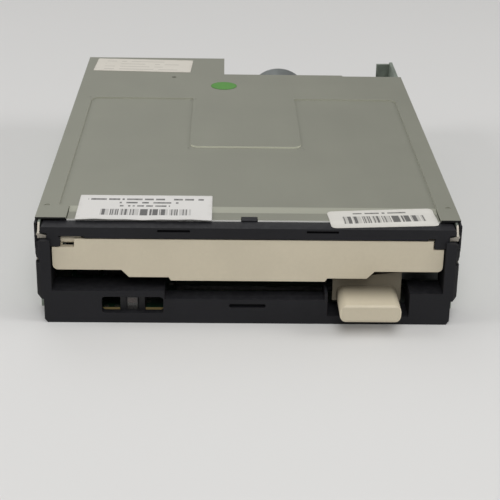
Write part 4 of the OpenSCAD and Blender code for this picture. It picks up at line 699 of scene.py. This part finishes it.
class Palette:
    """Makes each finish once and hands it out."""

    def __init__(self, marks: Tuple[Span, ...]) -> None:
        """Lists the finishes; marks are the pressed spots on the cover."""
        self.made: Dict[Look, Material] = {}
        self.recipes: Dict[Look, Finish] = {
            Look.COVER: LacqueredSheet((0.262, 0.264, 0.216), marks),
            Look.TRAY: PlatedSheet((0.33, 0.37, 0.32), gloss=0.42, bare_to=8.0),
            Look.ZINC: PlatedSheet((0.265, 0.285, 0.28), gloss=0.36, spangle=1.2),
            Look.BRIGHT: TurnedMetal((0.66, 0.66, 0.64)),
            Look.SPRING: TurnedMetal((0.5, 0.5, 0.49), gloss=0.28, pitch=0.08),
            Look.BRASS: TurnedMetal((0.66, 0.48, 0.2), gloss=0.25),
            Look.COPPER: WoundCopper((0.62, 0.25, 0.09)),
            # The black's dust also paints a sheen on faces that look up, and its flank paints shade on side
            # faces
            Look.BLACK: MouldedPlastic((0.0125, 0.0125, 0.0147), gloss=0.46, depth=0.012, mottle=0.12,
                                       dust_and_sheen=0.12, dust_and_sheen_colour=(0.12, 0.12, 0.125), level=0.2, flank=0.4),
            Look.DARK: MouldedPlastic((0.03, 0.03, 0.032), gloss=0.45, mottle=0.1),
            Look.CREAM: MouldedPlastic((0.565, 0.507, 0.388), gloss=0.48, depth=0.012, mottle=0.035),
            # The button's back and the plate under the door carry painted shade
            Look.BUTTON: MouldedPlastic((0.545, 0.488, 0.372), gloss=0.48, depth=0.012, mottle=0.035,
                                        soil_and_shade=0.85),
            Look.WHITE: MouldedPlastic((0.68, 0.67, 0.62), gloss=0.42, mottle=0.04),
            Look.CARRIAGE: MouldedPlastic((0.05, 0.055, 0.065), gloss=0.4, mottle=0.1),
            Look.BOARD: LaminateBoard((0.005, 0.026, 0.014)),
            Look.FILM: FilmRibbon((0.55, 0.3, 0.08)),
            Look.LAMP: LampBody((0.033, 0.032, 0.03)),
        }

    def material(self, look: Look) -> Material:
        """The look's material, made on first use."""
        if look not in self.made:
            self.made[look] = self.recipes[look].build(look.value)
        return self.made[look]


def linked(name: str, data: Any) -> Piece:
    """Makes an object of that data and puts it into the scene."""
    made = bpy.data.objects.new(name, data)
    bpy.context.scene.collection.objects.link(made)
    return made


def modify(piece: Piece, name: str, kind: str, **settings: Any) -> None:
    """Gives a piece a modifier with those settings."""
    made = piece.modifiers.new(name, kind)
    for key, value in settings.items():
        setattr(made, key, value)


def part_frame(points: np.ndarray) -> np.ndarray:
    """Moves millimetre points whose depth counts from the bezel's face into the part's frame, in metres."""
    return (points - np.array([0.0, SETBACK, 0.0])) * MM


def grid_faces(rows: int, columns: int, ring: bool) -> np.ndarray:
    """Quads of a grid of points stored row by row.

    Args:
        rows: points along the first parameter.
        columns: points along the second.
        ring: whether the second parameter closes on itself.

    Returns:
        An array of four indices a face.
    """
    last = columns if ring else columns - 1
    i, j = np.meshgrid(np.arange(rows - 1), np.arange(last), indexing="ij")
    near, far = i * columns + j, i * columns + (j + 1) % columns
    return np.stack([near, far, far + columns, near + columns], axis=-1).reshape(-1, 4)


def piece_from(name: str, points: np.ndarray, faces: Sequence[Sequence[int]],
               material: Material, smooth: bool = True) -> Piece:
    """Makes an object at the origin from points in metres.

    Args:
        name: the piece's name.
        points: an array of places.
        faces: indices of each face, outward side counter-clockwise.
        material: its only material.
        smooth: whether its faces shade smoothly.

    Returns:
        The object.
    """
    mesh = bpy.data.meshes.new(name)
    mesh.from_pydata(points.reshape(-1, 3).tolist(), [], [list(map(int, face)) for face in faces])
    mesh.materials.append(material)
    mesh.polygons.foreach_set("use_smooth", np.full(len(mesh.polygons), smooth))
    mesh.update()
    return linked(name, mesh)


def tube(path: np.ndarray, radius: float, sides: int = 10, directions: int = 200) -> Mesh:
    """Carries a circle along a path.

    At each point the circle lies in the plane across the tangent. Its first axis is the cross product of the
    tangent with one fixed direction, the one of a fan of directions that stays furthest from every tangent.

    Args:
        path: points in millimetres.
        radius: the circle's radius.
        sides: points round the circle.
        directions: how many directions the fan has, spread evenly over a ball.

    Returns:
        Points, and faces with both ends closed.
    """
    tangent = np.gradient(path, axis=0)
    tangent /= np.linalg.norm(tangent, axis=1, keepdims=True)
    k = np.arange(directions) + 0.5
    tilt, turn = np.arccos(1 - 2 * k / directions), np.pi * (1 + 5 ** 0.5) * k
    fan = np.stack([np.cos(turn) * np.sin(tilt), np.sin(turn) * np.sin(tilt), np.cos(tilt)], axis=1)
    spread = np.linalg.norm(np.cross(tangent[None], fan[:, None]), axis=2).min(axis=1)
    first = np.cross(tangent, fan[spread.argmax()])
    first /= np.linalg.norm(first, axis=1, keepdims=True)
    second = np.cross(tangent, first)
    angle = np.linspace(0, 2 * np.pi, sides, endpoint=False)
    ring = (np.cos(angle)[None, :, None] * first[:, None]
            + np.sin(angle)[None, :, None] * second[:, None])
    points = path[:, None] + radius * ring
    start, end = list(range(sides))[::-1], list(range(len(path) * sides - sides, len(path) * sides))
    return points.reshape(-1, 3), grid_faces(len(path), sides, True).tolist() + [start, end]


def joined(parts: Sequence[Mesh]) -> Mesh:
    """Puts several meshes, each its points and its faces, into one."""
    faces: List[List[int]] = []
    count = 0
    for points, loops in parts:
        faces += [[corner + count for corner in loop] for loop in loops]
        count += len(points)
    return np.concatenate([points for points, _ in parts]), faces


def helix(radius: float, pitch: float, curls: float, start: float, per_curl: int = 36) -> np.ndarray:
    """Points of a coil about Z: a circle of that radius that climbs by the pitch in each turn."""
    turn = np.linspace(0, curls, int(per_curl * curls) + 1)
    angle = np.radians(start) + 2 * np.pi * turn
    return np.stack([radius * np.cos(angle), radius * np.sin(angle), pitch * turn], axis=1)


@dataclass
class SubAssembly:
    """What the groups of pieces share: the loaded frame, the finishes, and ways to dress a piece."""

    frame: Dict[str, Any]
    palette: Palette

    def home(self, node: str) -> Tuple[str, str]:
        """The body and the material slot that the record gives a node."""
        record = self.frame["record"]
        bodies = record["behaviour"]["bodies"].items()
        body = next(name for name, nodes in bodies if node in nodes)
        slot = next(row["material_slot"] for row in record["subparts"] if row["node"] == node)
        return body, slot

    def dress(self, look: Look, *nodes: str) -> None:
        """Gives CAD nodes that stay as they are a finish."""
        for node in nodes:
            piece = self.frame["nodes"][node]
            if not piece.material_slots:
                piece.data.materials.append(None)
            for place in piece.material_slots:
                place.material = self.palette.material(look)
            LOG.info("dressed %s as %s", node, look.value)

    def soften(self, node: str, look: Look, width: float, segments: int = 2, crease: float = 28.0,
               slot: Optional[str] = None) -> None:
        """Replaces a node by a copy of its mesh with rounded edges.

        Args:
            node: the node's name.
            look: its finish.
            width: width of the rounding in millimetres.
            segments: steps of the rounding.
            crease: angle in degrees from which an edge shades as a crease.
            slot: the record's material slot, where it isn't the node's own; not used.
        """
        work = bmesh.new()
        work.from_mesh(self.frame["nodes"][node].data)
        bmesh.ops.remove_doubles(work, verts=work.verts, dist=WELD)
        bmesh.ops.dissolve_limit(work, angle_limit=math.radians(FLAT), verts=work.verts, edges=work.edges)
        mesh = bpy.data.meshes.new(node + "_skin")
        work.to_mesh(mesh)
        work.free()
        if "custom_normal" in mesh.attributes:
            mesh.attributes.remove(mesh.attributes["custom_normal"])
        mesh.materials.clear()
        mesh.materials.append(self.palette.material(look))
        mesh.polygons.foreach_set("material_index", np.zeros(len(mesh.polygons), dtype=np.int32))
        mesh.shade_smooth()
        mesh.set_sharp_from_angle(angle=math.radians(crease))
        piece = linked(node + "_skin", mesh)
        modify(piece, "rounded_edges", "BEVEL", width=width * MM, segments=segments, limit_method="ANGLE",
               angle_limit=math.radians(ROUNDED), use_clamp_overlap=True, harden_normals=True)
        modify(piece, "even_shading", "WEIGHTED_NORMAL", keep_sharp=True)
        self.seat(piece, node, slot=slot)

    def seat(self, piece: Piece, node: str, instead: bool = True, slot: Optional[str] = None) -> None:
        """Puts a piece on a node's body, in the node's stead if asked."""
        body, own_slot = self.home(node)
        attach(piece, body)
        if instead:
            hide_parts(node)
        LOG.info("made %s on %s", piece.name, body)

    def bridge(self, piece: Piece, node: str, bodies: Tuple[Body, Body], ends: Tuple[Place, Place]) -> None:
        """Bakes a piece's place into its mesh and hides the node that it stands for.

        Args:
            piece: the piece, which has no parent yet.
            node: the node that it stands for.
            bodies: a body for its first end and one for its last; not used.
            ends: where it leaves the first and reaches the second, in millimetres behind the bezel's face;
                not used.
        """
        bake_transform(piece)
        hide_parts(node)


@dataclass
class Sticker:
    """A flat paper sticker on the cover, in millimetres behind the bezel's face."""

    name: str
    centre: Span
    size: Span
    turn: float
    corner: float
    finish: Finish
    height: float = 25.42
    thick: float = 0.09
    rows: int = 60

    def lie(self, x: np.ndarray, y: np.ndarray) -> np.ndarray:
        """Height of the sheet's underside at each place."""
        return np.full_like(x, self.height)

    def sheet(self) -> Piece:
        """Surface of two parameters from -1 to 1: the second runs along the sheet, the first across it.

        The half width at each line is the full half width, less the corner circle's sagitta near the ends.
        The outline is turned about the centre, and each place takes its height from what it lies on.

        Returns:
            The sheet, with a map from nought to one across it and its thickness added by a modifier.
        """
        half_w, half_l = self.size[0] / 2, self.size[1] / 2
        lines = np.sin(np.linspace(-1, 1, self.rows) * np.pi / 2)
        u, v = np.meshgrid(np.linspace(-1, 1, 2 * self.rows), lines, indexing="xy")
        over = np.maximum(np.abs(v) * half_l - (half_l - self.corner), 0)
        wide = half_w - self.corner + np.sqrt(np.maximum(self.corner ** 2 - over ** 2, 0))
        x, y = u * wide, v * half_l
        turn = math.radians(self.turn)
        east = self.centre[0] + x * math.cos(turn) - y * math.sin(turn)
        north = self.centre[1] + x * math.sin(turn) + y * math.cos(turn)
        points = np.stack([east, north, self.lie(east, north)], axis=-1).reshape(-1, 3)
        paper = self.finish.build(self.name + "_paper")
        piece = piece_from(self.name, part_frame(points), grid_faces(*u.shape, False), paper)
        layer = piece.data.uv_layers.new(name="sheet")
        corners = np.empty(len(piece.data.loops), dtype=np.int32)
        piece.data.loops.foreach_get("vertex_index", corners)
        chart = np.stack([(x / half_w + 1) / 2, (y / half_l + 1) / 2], axis=-1).reshape(-1, 2)
        layer.data.foreach_set("uv", chart[corners].ravel().astype(np.float32))
        modify(piece, "paper_thickness", "SOLIDIFY", thickness=self.thick * MM, offset=1.0)
        return piece


@dataclass
class BridgingSticker(Sticker):
    """Stiff sheet that bridges the cover's front step: flat behind, slightly wavy at its free front edge.

    Each wave is its height, its radians a millimetre and its shift.
    """

    height: float = 25.03
    free_from: float = 13.0
    free_length: float = 8.1
    lift: float = 0.05
    waves: Tuple[Place, ...] = ((0.07, 0.33, 40.0), (0.05, 0.81, 0.0))

    def lie(self, x: np.ndarray, y: np.ndarray) -> np.ndarray:
        """Flat height, plus sine waves across that grow with the square of the free length."""
        free = np.clip((self.free_from - y) / self.free_length, 0, 1)
        wave = sum(high * np.sin((x + shift) * rate) for high, rate, shift in self.waves)
        return self.height + free ** 2 * (self.lift + wave)


@dataclass
class FollowingSticker(Sticker):
    """Sheet pressed on the joggled lip: it climbs the step behind and bends down on the bezel's top in front.

    Each step is its climb and the two depths between which it climbs.
    """

    height: float = 24.44
    steps: Tuple[Place, ...] = ((0.3, 4.0, 5.9), (0.3, 10.2, 13.4))

    def lie(self, x: np.ndarray, y: np.ndarray) -> np.ndarray:
        """Bezel's top, lip and cover floor joined by smooth steps."""
        top = np.full_like(x, self.height)
        for climb, low, high in self.steps:
            share = np.clip((y - low) / (high - low), 0, 1)
            top += climb * share * share * (3 - 2 * share)
        return top


@dataclass
class CoverSkin(SubAssembly):
    """The pressed cover with its paper stickers."""

    edge: float = 0.3
    crease: float = 4.0
    left_size: Span = (32.6, 15.9)
    right_size: Span = (26.0, 9.6)
    rear_size: Span = (31.4, 14.2)
    dot_at: Span = (-6.1, 114.9)
    dot_r: float = 4.0

    def build(self) -> None:
        """Softens the sheet's edges and lays the stickers on it."""
        self.soften("top_cover", Look.COVER, self.edge, 4, self.crease)
        for sticker in self.stickers():
            self.seat(sticker.sheet(), "top_cover", False)

    def stickers(self) -> Tuple[Sticker, ...]:
        """Two labels in front, one at the rear and a round dot."""
        rows = ((12.6, 13.7, 2.1, 30.5), (10.4, 11.4, 8.3, 24.3), (8.3, 9.2, 10.1, 22.3))
        left = Paper((0.66, 0.647, 0.624), self.left_size, rows, (2.7, 6.7, 5.3, 27.5), dash=0.55)
        row = ((7.6, 8.3, 6.2, 19.2),)
        right = Paper((0.615, 0.6, 0.557), self.right_size, row, (2.4, 6.2, 3.0, 23.2), dash=0.7)
        faint = tuple((2.0 + 3.0 * k, 2.6 + 3.0 * k, 3.0, 27.0 - 5 * (k % 2)) for k in range(4))
        rear = Paper((0.63, 0.597, 0.532), self.rear_size, faint, dash=1.6, fade=0.3, soil_and_shade=0.2)
        dot = DotPaper((0.08, 0.25, 0.042), self.dot_at, self.dot_r)
        across = 2 * self.dot_r
        return (
            BridgingSticker("front_left_label", (-25.05, 12.45), self.left_size, 0.0, 0.3, left),
            FollowingSticker("front_right_label", (32.3, 7.4), self.right_size, 4.5, 1.3, right),
            Sticker("rear_label", (-32.3, 137.3), self.rear_size, -2.5, 0.5, rear),
            Sticker("green_dot", self.dot_at, (across, across), 0.0, self.dot_r - 0.001, dot),
        )


@dataclass
class FrontEnd(SubAssembly):
    """Bezel, door, button and lamp, with the widths of their rounded edges."""

    bezel_edge: float = 0.18
    door_edge: float = 0.2
    small_edge: float = 0.15

    def build(self) -> None:
        """Softens the mouldings and the lamp."""
        self.soften("front_bezel", Look.BLACK, self.bezel_edge, 3)
        self.soften("dust_door", Look.CREAM, self.door_edge, 3)
        self.soften("eject_button", Look.BUTTON, self.small_edge)
        self.soften("led_holder", Look.DARK, self.small_edge)
        self.soften("status_led", Look.LAMP, self.door_edge, 3)


@dataclass
class TrayShell(SubAssembly):
    """Sheet tray and the eject mechanism's sheet pieces, with the widths of their rounded edges."""

    tray_edge: float = 0.1
    sheet_edge: float = 0.08

    def build(self) -> None:
        """Softens the sheets and dresses the small metal."""
        self.soften("chassis_tray", Look.TRAY, self.tray_edge)
        self.soften("eject_slide", Look.ZINC, self.sheet_edge)
        self.soften("disk_carrier", Look.TRAY, self.sheet_edge, slot="tray_steel")
        self.soften("eject_lever", Look.ZINC, self.sheet_edge)
        self.dress(Look.BRIGHT, "carrier_pins", "lever_pivot")


@dataclass
class BoardSet(SubAssembly):
    """Boards, their parts, sensors and connectors, with the width of the connectors' rounded edges."""

    shell_edge: float = 0.15

    def build(self) -> None:
        """Dresses each board and softens the connectors."""
        self.dress(Look.BOARD, "motor_board", "main_board")
        self.soften("signal_header", Look.DARK, self.shell_edge)
        self.soften("power_connector", Look.WHITE, self.shell_edge)
        self.dress(Look.DARK, "controller_chips", "track_zero_sensor", "switch_bodies")
        self.dress(Look.CARRIAGE, "board_components")
        self.dress(Look.BRASS, "signal_pins", "power_pins")
        self.dress(Look.ZINC, "board_screws", "motor_screws")
        self.dress(Look.WHITE, "density_plunger", "protect_plunger", "presence_plunger")


@dataclass
class MotorSet(SubAssembly):
    """Spindle motor, with the sizes of its windings in millimetres."""

    poles: int = 12
    turns: int = 9
    turn_steps: int = 20
    coil_from: float = 7.9
    coil_to: float = 13.4
    coil_half: float = 1.12
    squareness: float = 0.35
    wire: float = 0.27

    def build(self) -> None:
        """Dresses the rotor and the stator."""
        self.dress(Look.ZINC, "stator_core", "rotor_yoke")
        self.windings()
        self.dress(Look.BRASS, "spindle_sleeve")
        self.dress(Look.DARK, "rotor_magnet")
        self.dress(Look.BRIGHT, "hub_table", "spindle_shaft", "drive_pin")

    def windings(self) -> None:
        """Wire wound round each pole of the stator, in one piece.

        A turn is a circle whose sine and cosine are raised to a power under one, which makes it a rounded
        square, and the wire goes outwards by one pitch a turn. Each pole's path is turned about the spindle.
        """
        low, high = (np.array(corner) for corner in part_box("stator_coils"))
        angle = 2 * np.pi * np.linspace(0, self.turns, self.turn_steps * self.turns + 1)
        circle = np.stack([np.cos(angle), np.sin(angle)])
        across, up = self.coil_half * np.sign(circle) * np.abs(circle) ** self.squareness
        out = np.linspace(self.coil_from, self.coil_to, len(angle))
        parts = []
        for turn in np.linspace(0, 2 * np.pi, self.poles, endpoint=False):
            east = out * np.cos(turn) - across * np.sin(turn)
            north = out * np.sin(turn) + across * np.cos(turn)
            parts.append(tube(np.stack([east, north, up], axis=1), self.wire, 8))
        points, faces = joined(parts)
        placed = points * MM + (low + high) / 2
        piece = piece_from("stator_windings", placed, faces, self.palette.material(Look.COPPER))
        self.seat(piece, "stator_coils")


@dataclass
class HeadDrive(SubAssembly):
    """Head motor, its screw, the carriage and the upper arm, with the widths of their rounded edges."""

    can_edge: float = 0.3
    bracket_edge: float = 0.1
    moulding_edge: float = 0.12

    def build(self) -> None:
        """Softens the can and the carriage, and dresses the rest."""
        self.soften("stepper_can", Look.ZINC, self.can_edge, 3)
        self.soften("stepper_bracket", Look.ZINC, self.bracket_edge)
        self.soften("head_carriage", Look.CARRIAGE, self.moulding_edge)
        self.soften("upper_arm", Look.CARRIAGE, self.moulding_edge)
        self.dress(Look.BRIGHT, "guide_rods", "lead_screw", "arm_hinge_pin")
        self.dress(Look.ZINC, "rod_clamps", "clamp_screws", "stepper_screws", "screw_follower")
        self.dress(Look.DARK, "lower_head", "upper_head")


@dataclass
class CoilSpring:
    """A wire spring: a coil with straight legs, in millimetres in its own frame about Z."""

    name: str
    node: str
    radius: float
    wire: float
    pitch: float
    curls: float
    start: float
    first_leg: Place
    last_leg: Place
    origin: Place
    axis_x: bool = False
    between: Optional[Tuple[Body, Body]] = None
    leg_steps: int = 12

    def path(self) -> np.ndarray:
        """Leg, coil and leg in one row of points, turned so that the coil's axis lies along X if asked."""
        body = helix(self.radius, self.pitch, self.curls, self.start)
        share = np.linspace(0, 1, self.leg_steps)[:-1, None]
        lead = np.array(self.first_leg) * (1 - share) + body[0] * share
        tail = (body[-1] * (1 - share) + np.array(self.last_leg) * share)[1:]
        points = np.concatenate([lead, body, tail, [self.last_leg]])
        if self.axis_x:
            points = points[:, [2, 0, 1]]
        return points + np.array(self.origin)


@dataclass
class SpringSet(SubAssembly):
    """Wire springs and film ribbons, each in a fuller form than its CAD solid, in millimetres.

    pull_at is the right pull spring's front end; the left one mirrors its place. The head film runs from the
    first point of head_path to the second, each across and up.
    """

    pull_radius: float = 1.5
    pull_wire: float = 0.2
    pull_curls: int = 12
    pull_length: float = 18.0
    pull_hook: float = 2.0
    pull_at: Place = (43.0, 44.0, 4.6)
    film_thick: float = 0.16
    film_columns: int = 24
    head_path: Tuple[Span, Span] = ((-9.4, 9.5), (-30.0, 5.1))
    head_bow: float = 3.0
    head_edges: Span = (113.5, 120.5)
    motor_ends: Span = (-34.5, -26.5)
    motor_height: float = 2.75
    motor_edges: Span = (73.5, 89.5)
    socket_low: Place = (-31.5, 112.5, 2.7)
    socket_high: Place = (-29.7, 121.5, 5.5)
    slit_depth: float = 0.6
    slit: Span = (4.9, 5.3)
    socket_edge: float = 0.06

    def build(self) -> None:
        """Winds every spring and lays the ribbons."""
        self.pull_springs()
        for spring in self.springs():
            path = spring.path()
            points, faces = tube(path, spring.wire)
            piece = piece_from(spring.name, part_frame(points), faces, self.palette.material(Look.SPRING))
            if spring.between is None:
                self.seat(piece, spring.node)
            else:
                self.bridge(piece, spring.node, spring.between, (path[-spring.leg_steps], path[-1]))
        self.head_film()
        self.socket()
        self.motor_film()

    @staticmethod
    def springs() -> Tuple[CoilSpring, ...]:
        """The door's, the lever's and the arm's springs."""
        return (
            CoilSpring("door_coil", "door_spring", radius=1.0, wire=0.15, pitch=0.75, curls=4, start=180,
                       first_leg=(-1.0, 1.1, 0.0), last_leg=(-4.05, -3.35, 3.0),
                       origin=(-46.55, 7.0, 21.7), axis_x=True, between=(Body.BASE, Body.DOOR)),
            CoilSpring("lever_coil", "lever_spring", radius=2.8, wire=0.2, pitch=0.85, curls=4, start=90,
                       first_leg=(-6.0, 2.8, 0.0), last_leg=(5.0, 2.8, 3.4), origin=(40.0, 85.0, 16.9)),
            CoilSpring("arm_coil", "arm_spring", radius=1.6, wire=0.15, pitch=0.75, curls=5.5, start=270,
                       first_leg=(-3.5, -1.9, 0.0), last_leg=(-4.0, 2.1, 4.125),
                       origin=(-2.0625, 120.5, 12.5), axis_x=True),
        )

    def pull_springs(self) -> None:
        """Two pull springs in one piece, laid along Y: a close coil whose ends turn up into hooks.

        A hook's distance from the axis is the square root of its share of the hook's length.
        """
        radius, length, hook = self.pull_radius, self.pull_length, self.pull_hook
        aside, front, height = self.pull_at
        body = helix(radius, (length - 2 * hook) / self.pull_curls, self.pull_curls, 0, 24)
        body[:, 2] += hook
        t = np.linspace(0, 1, 14)[:-1, None]
        near = np.concatenate([radius * t ** 0.5, 0 * t, hook * t], axis=1)
        far = np.concatenate([radius * t[::-1] ** 0.5, 0 * t, length - hook * t[::-1]], axis=1)
        ring, quads = tube(np.concatenate([near, body, far]), self.pull_wire, 8)
        laid = np.stack([ring[:, 0], ring[:, 2] + front, height - ring[:, 1]], axis=1)
        points, faces = joined([(laid + (x, 0.0, 0.0), quads) for x in (-aside, aside)])
        piece = piece_from("slide_coils", part_frame(points), faces, self.palette.material(Look.SPRING))
        ends = ((0.0, front + hook, height), (0.0, front + length - hook, height))
        self.bridge(piece, "slide_springs", (Body.BASE, Body.SLIDE), ends)

    def head_film(self) -> None:
        """Film from carriage to board: it falls by a smooth step, plus a sine bow that leans to its end."""
        u = np.linspace(0, 1, 60)
        (x0, z0), (x1, z1) = self.head_path
        z = z0 + (z1 - z0) * u * u * (3 - 2 * u) + self.head_bow * np.sin(np.pi * u) * u
        head = self.film("head_film", x0 + (x1 - x0) * u, z, self.head_edges)
        ends = ((-11.0, 117.0, 9.0), (-29.0, 117.0, 5.1))
        self.bridge(head, "head_ribbon", (Body.CARRIAGE, Body.BASE), ends)

    def motor_film(self) -> None:
        """Flat film between the two boards."""
        x = np.linspace(*self.motor_ends, 20)
        motor = self.film("motor_film", x, np.full_like(x, self.motor_height), self.motor_edges)
        self.seat(motor, "motor_ribbon")

    def film(self, name: str, x: np.ndarray, z: np.ndarray, edges: Span) -> Piece:
        """One film strip: a surface of two parameters, along its path and across its width.

        Args:
            name: the piece's name.
            x: places along its path.
            z: heights along its path.
            edges: its two edges' depths.

        Returns:
            The strip, not yet on a body.
        """
        count = self.film_columns
        depth = np.tile(np.linspace(*edges, count), len(x))
        points = part_frame(np.stack([np.repeat(x, count), depth, np.repeat(z, count)], axis=1))
        piece = piece_from(name, points, grid_faces(len(x), count, False), self.palette.material(Look.FILM))
        modify(piece, "film_thickness", "SOLIDIFY", thickness=self.film_thick * MM)
        return piece

    def socket(self) -> None:
        """Block on the board: a profile with a slit for the head film, carried across the film's width."""
        (west, front, low), (east, rear, high) = self.socket_low, self.socket_high
        inner, (under, over) = east - self.slit_depth, self.slit
        profile = np.array([(west, low), (east, low), (east, under), (inner, under), (inner, over),
                            (east, over), (east, high), (west, high)])
        count = len(profile)
        depth = np.repeat([rear, front], count)
        points = np.stack([np.tile(profile[:, 0], 2), depth, np.tile(profile[:, 1], 2)], axis=1)
        caps = [list(range(count))[::-1], list(range(count, 2 * count))]
        faces = grid_faces(2, count, True).tolist() + caps
        white = self.palette.material(Look.WHITE)
        piece = piece_from("ribbon_socket", part_frame(points), faces, white, False)
        modify(piece, "rounded_edges", "BEVEL", width=self.socket_edge * MM, segments=2)
        self.seat(piece, "main_board", False, "white_plastic")


@dataclass
class Studio:
    """Plain pale floor, soft light and the camera at the photograph's angle.

    The eye is in millimetres behind the bezel's face, and the angles are in radians. Each soft box is its
    name, its place in metres, its power in watts and its side in metres.
    """

    focal_px: float = 1348.9
    frame_px: float = 500.0
    sensor: float = 36.0
    eye: Place = (-6.319, -292.743, 146.463)
    yaw: float = 0.0227
    pitch: float = 0.4094
    roll: float = 0.017
    floor_half: float = 1.6
    floor_lines: int = 9
    floor_colour: Colour = (0.66, 0.655, 0.645)
    aim: Place = (0.0, 0.0, 0.01)
    sky: Colour = (1.0, 0.995, 0.985)
    sky_strength: float = 0.28
    boxes: Tuple[Tuple[str, Place, float, float], ...] = (
        ("key_box", (0.1, -0.35, 1.15), 2.8, 0.8),
        ("front_box", (0.0, -0.95, 0.95), 5.8, 0.6),
        ("left_box", (-1.05, -0.15, 0.55), 5.0, 0.6),
        ("right_box", (1.05, -0.15, 0.55), 5.4, 0.6),
        ("rear_box", (-0.3, 0.9, 0.9), 1.9, 0.8),
    )

    def camera(self) -> None:
        """Sets the camera from its yaw, downward pitch and roll."""
        flat = math.cos(self.pitch)
        forward = np.array([math.sin(self.yaw) * flat, math.cos(self.yaw) * flat, -math.sin(self.pitch)])
        level = np.array([math.cos(self.yaw), -math.sin(self.yaw), 0.0])
        above = np.cross(level, forward)
        right = math.cos(self.roll) * level + math.sin(self.roll) * above
        up = -math.sin(self.roll) * level + math.cos(self.roll) * above
        data = bpy.data.cameras.new("photo_camera")
        data.sensor_fit = "HORIZONTAL"
        data.sensor_width = self.sensor
        data.lens = self.focal_px / self.frame_px * self.sensor
        data.clip_start = 0.01
        matrix = np.eye(4)
        matrix[:3] = np.stack([right, up, -forward, part_frame(np.array(self.eye))], axis=1)
        camera = linked("photo_camera", data)
        camera.matrix_world = Matrix(matrix.tolist())
        bpy.context.scene.camera = camera

    def floor(self, height: float) -> None:
        """Lays a wide flat sheet under the part."""
        across = np.linspace(-self.floor_half, self.floor_half, self.floor_lines)
        x, y = np.meshgrid(across, across, indexing="xy")
        points = np.stack([x, y, np.full_like(x, height)], axis=-1)
        material = StudioFloor(self.floor_colour).build("studio_floor")
        piece_from("studio_floor", points, grid_faces(*x.shape, False), material)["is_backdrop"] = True

    def lamp(self, name: str, at: Place, power: float, size: float) -> None:
        """One square soft box that looks at the part's middle."""
        data = bpy.data.lights.new(name, "AREA")
        data.energy, data.size = power, size
        lamp = linked(name, data)
        lamp.location = at
        x, y, z = np.array(at) - np.array(self.aim)
        lamp.rotation_euler = (math.atan2(math.hypot(x, y), z), 0.0, math.atan2(y, x) + math.pi / 2)

    def world(self) -> None:
        """Even dim light from all round."""
        world = bpy.data.worlds.new("studio_world")
        world.use_nodes = True
        back = world.node_tree.nodes["Background"]
        back.inputs["Color"].default_value = (*self.sky, 1.0)
        back.inputs["Strength"].default_value = self.sky_strength
        bpy.context.scene.world = world

    def build(self, height: float) -> None:
        """Sets the whole studio up, with its floor at that height."""
        bpy.context.scene.view_settings.view_transform = "Standard"
        self.camera()
        self.floor(height)
        for box in self.boxes:
            self.lamp(*box)
        self.world()


# Pressed spots on the cover, in millimetres behind the bezel's face
MARKS = ((-45.8, 101.8), (-15.4, 100.8), (-14.9, 56.8), (15.1, 56.5), (16.1, 100.9), (46.0, 100.9))


def main() -> None:
    """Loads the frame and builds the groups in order."""
    logging.basicConfig(level=logging.INFO, format="%(name)s: %(message)s")
    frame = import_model()
    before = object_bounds()
    Studio().build(before[0][2])
    palette = Palette(MARKS)
    for group in (CoverSkin, FrontEnd, TrayShell, BoardSet, MotorSet, HeadDrive, SpringSet):
        group(frame, palette).build()


if __name__ == "__main__":
    main()
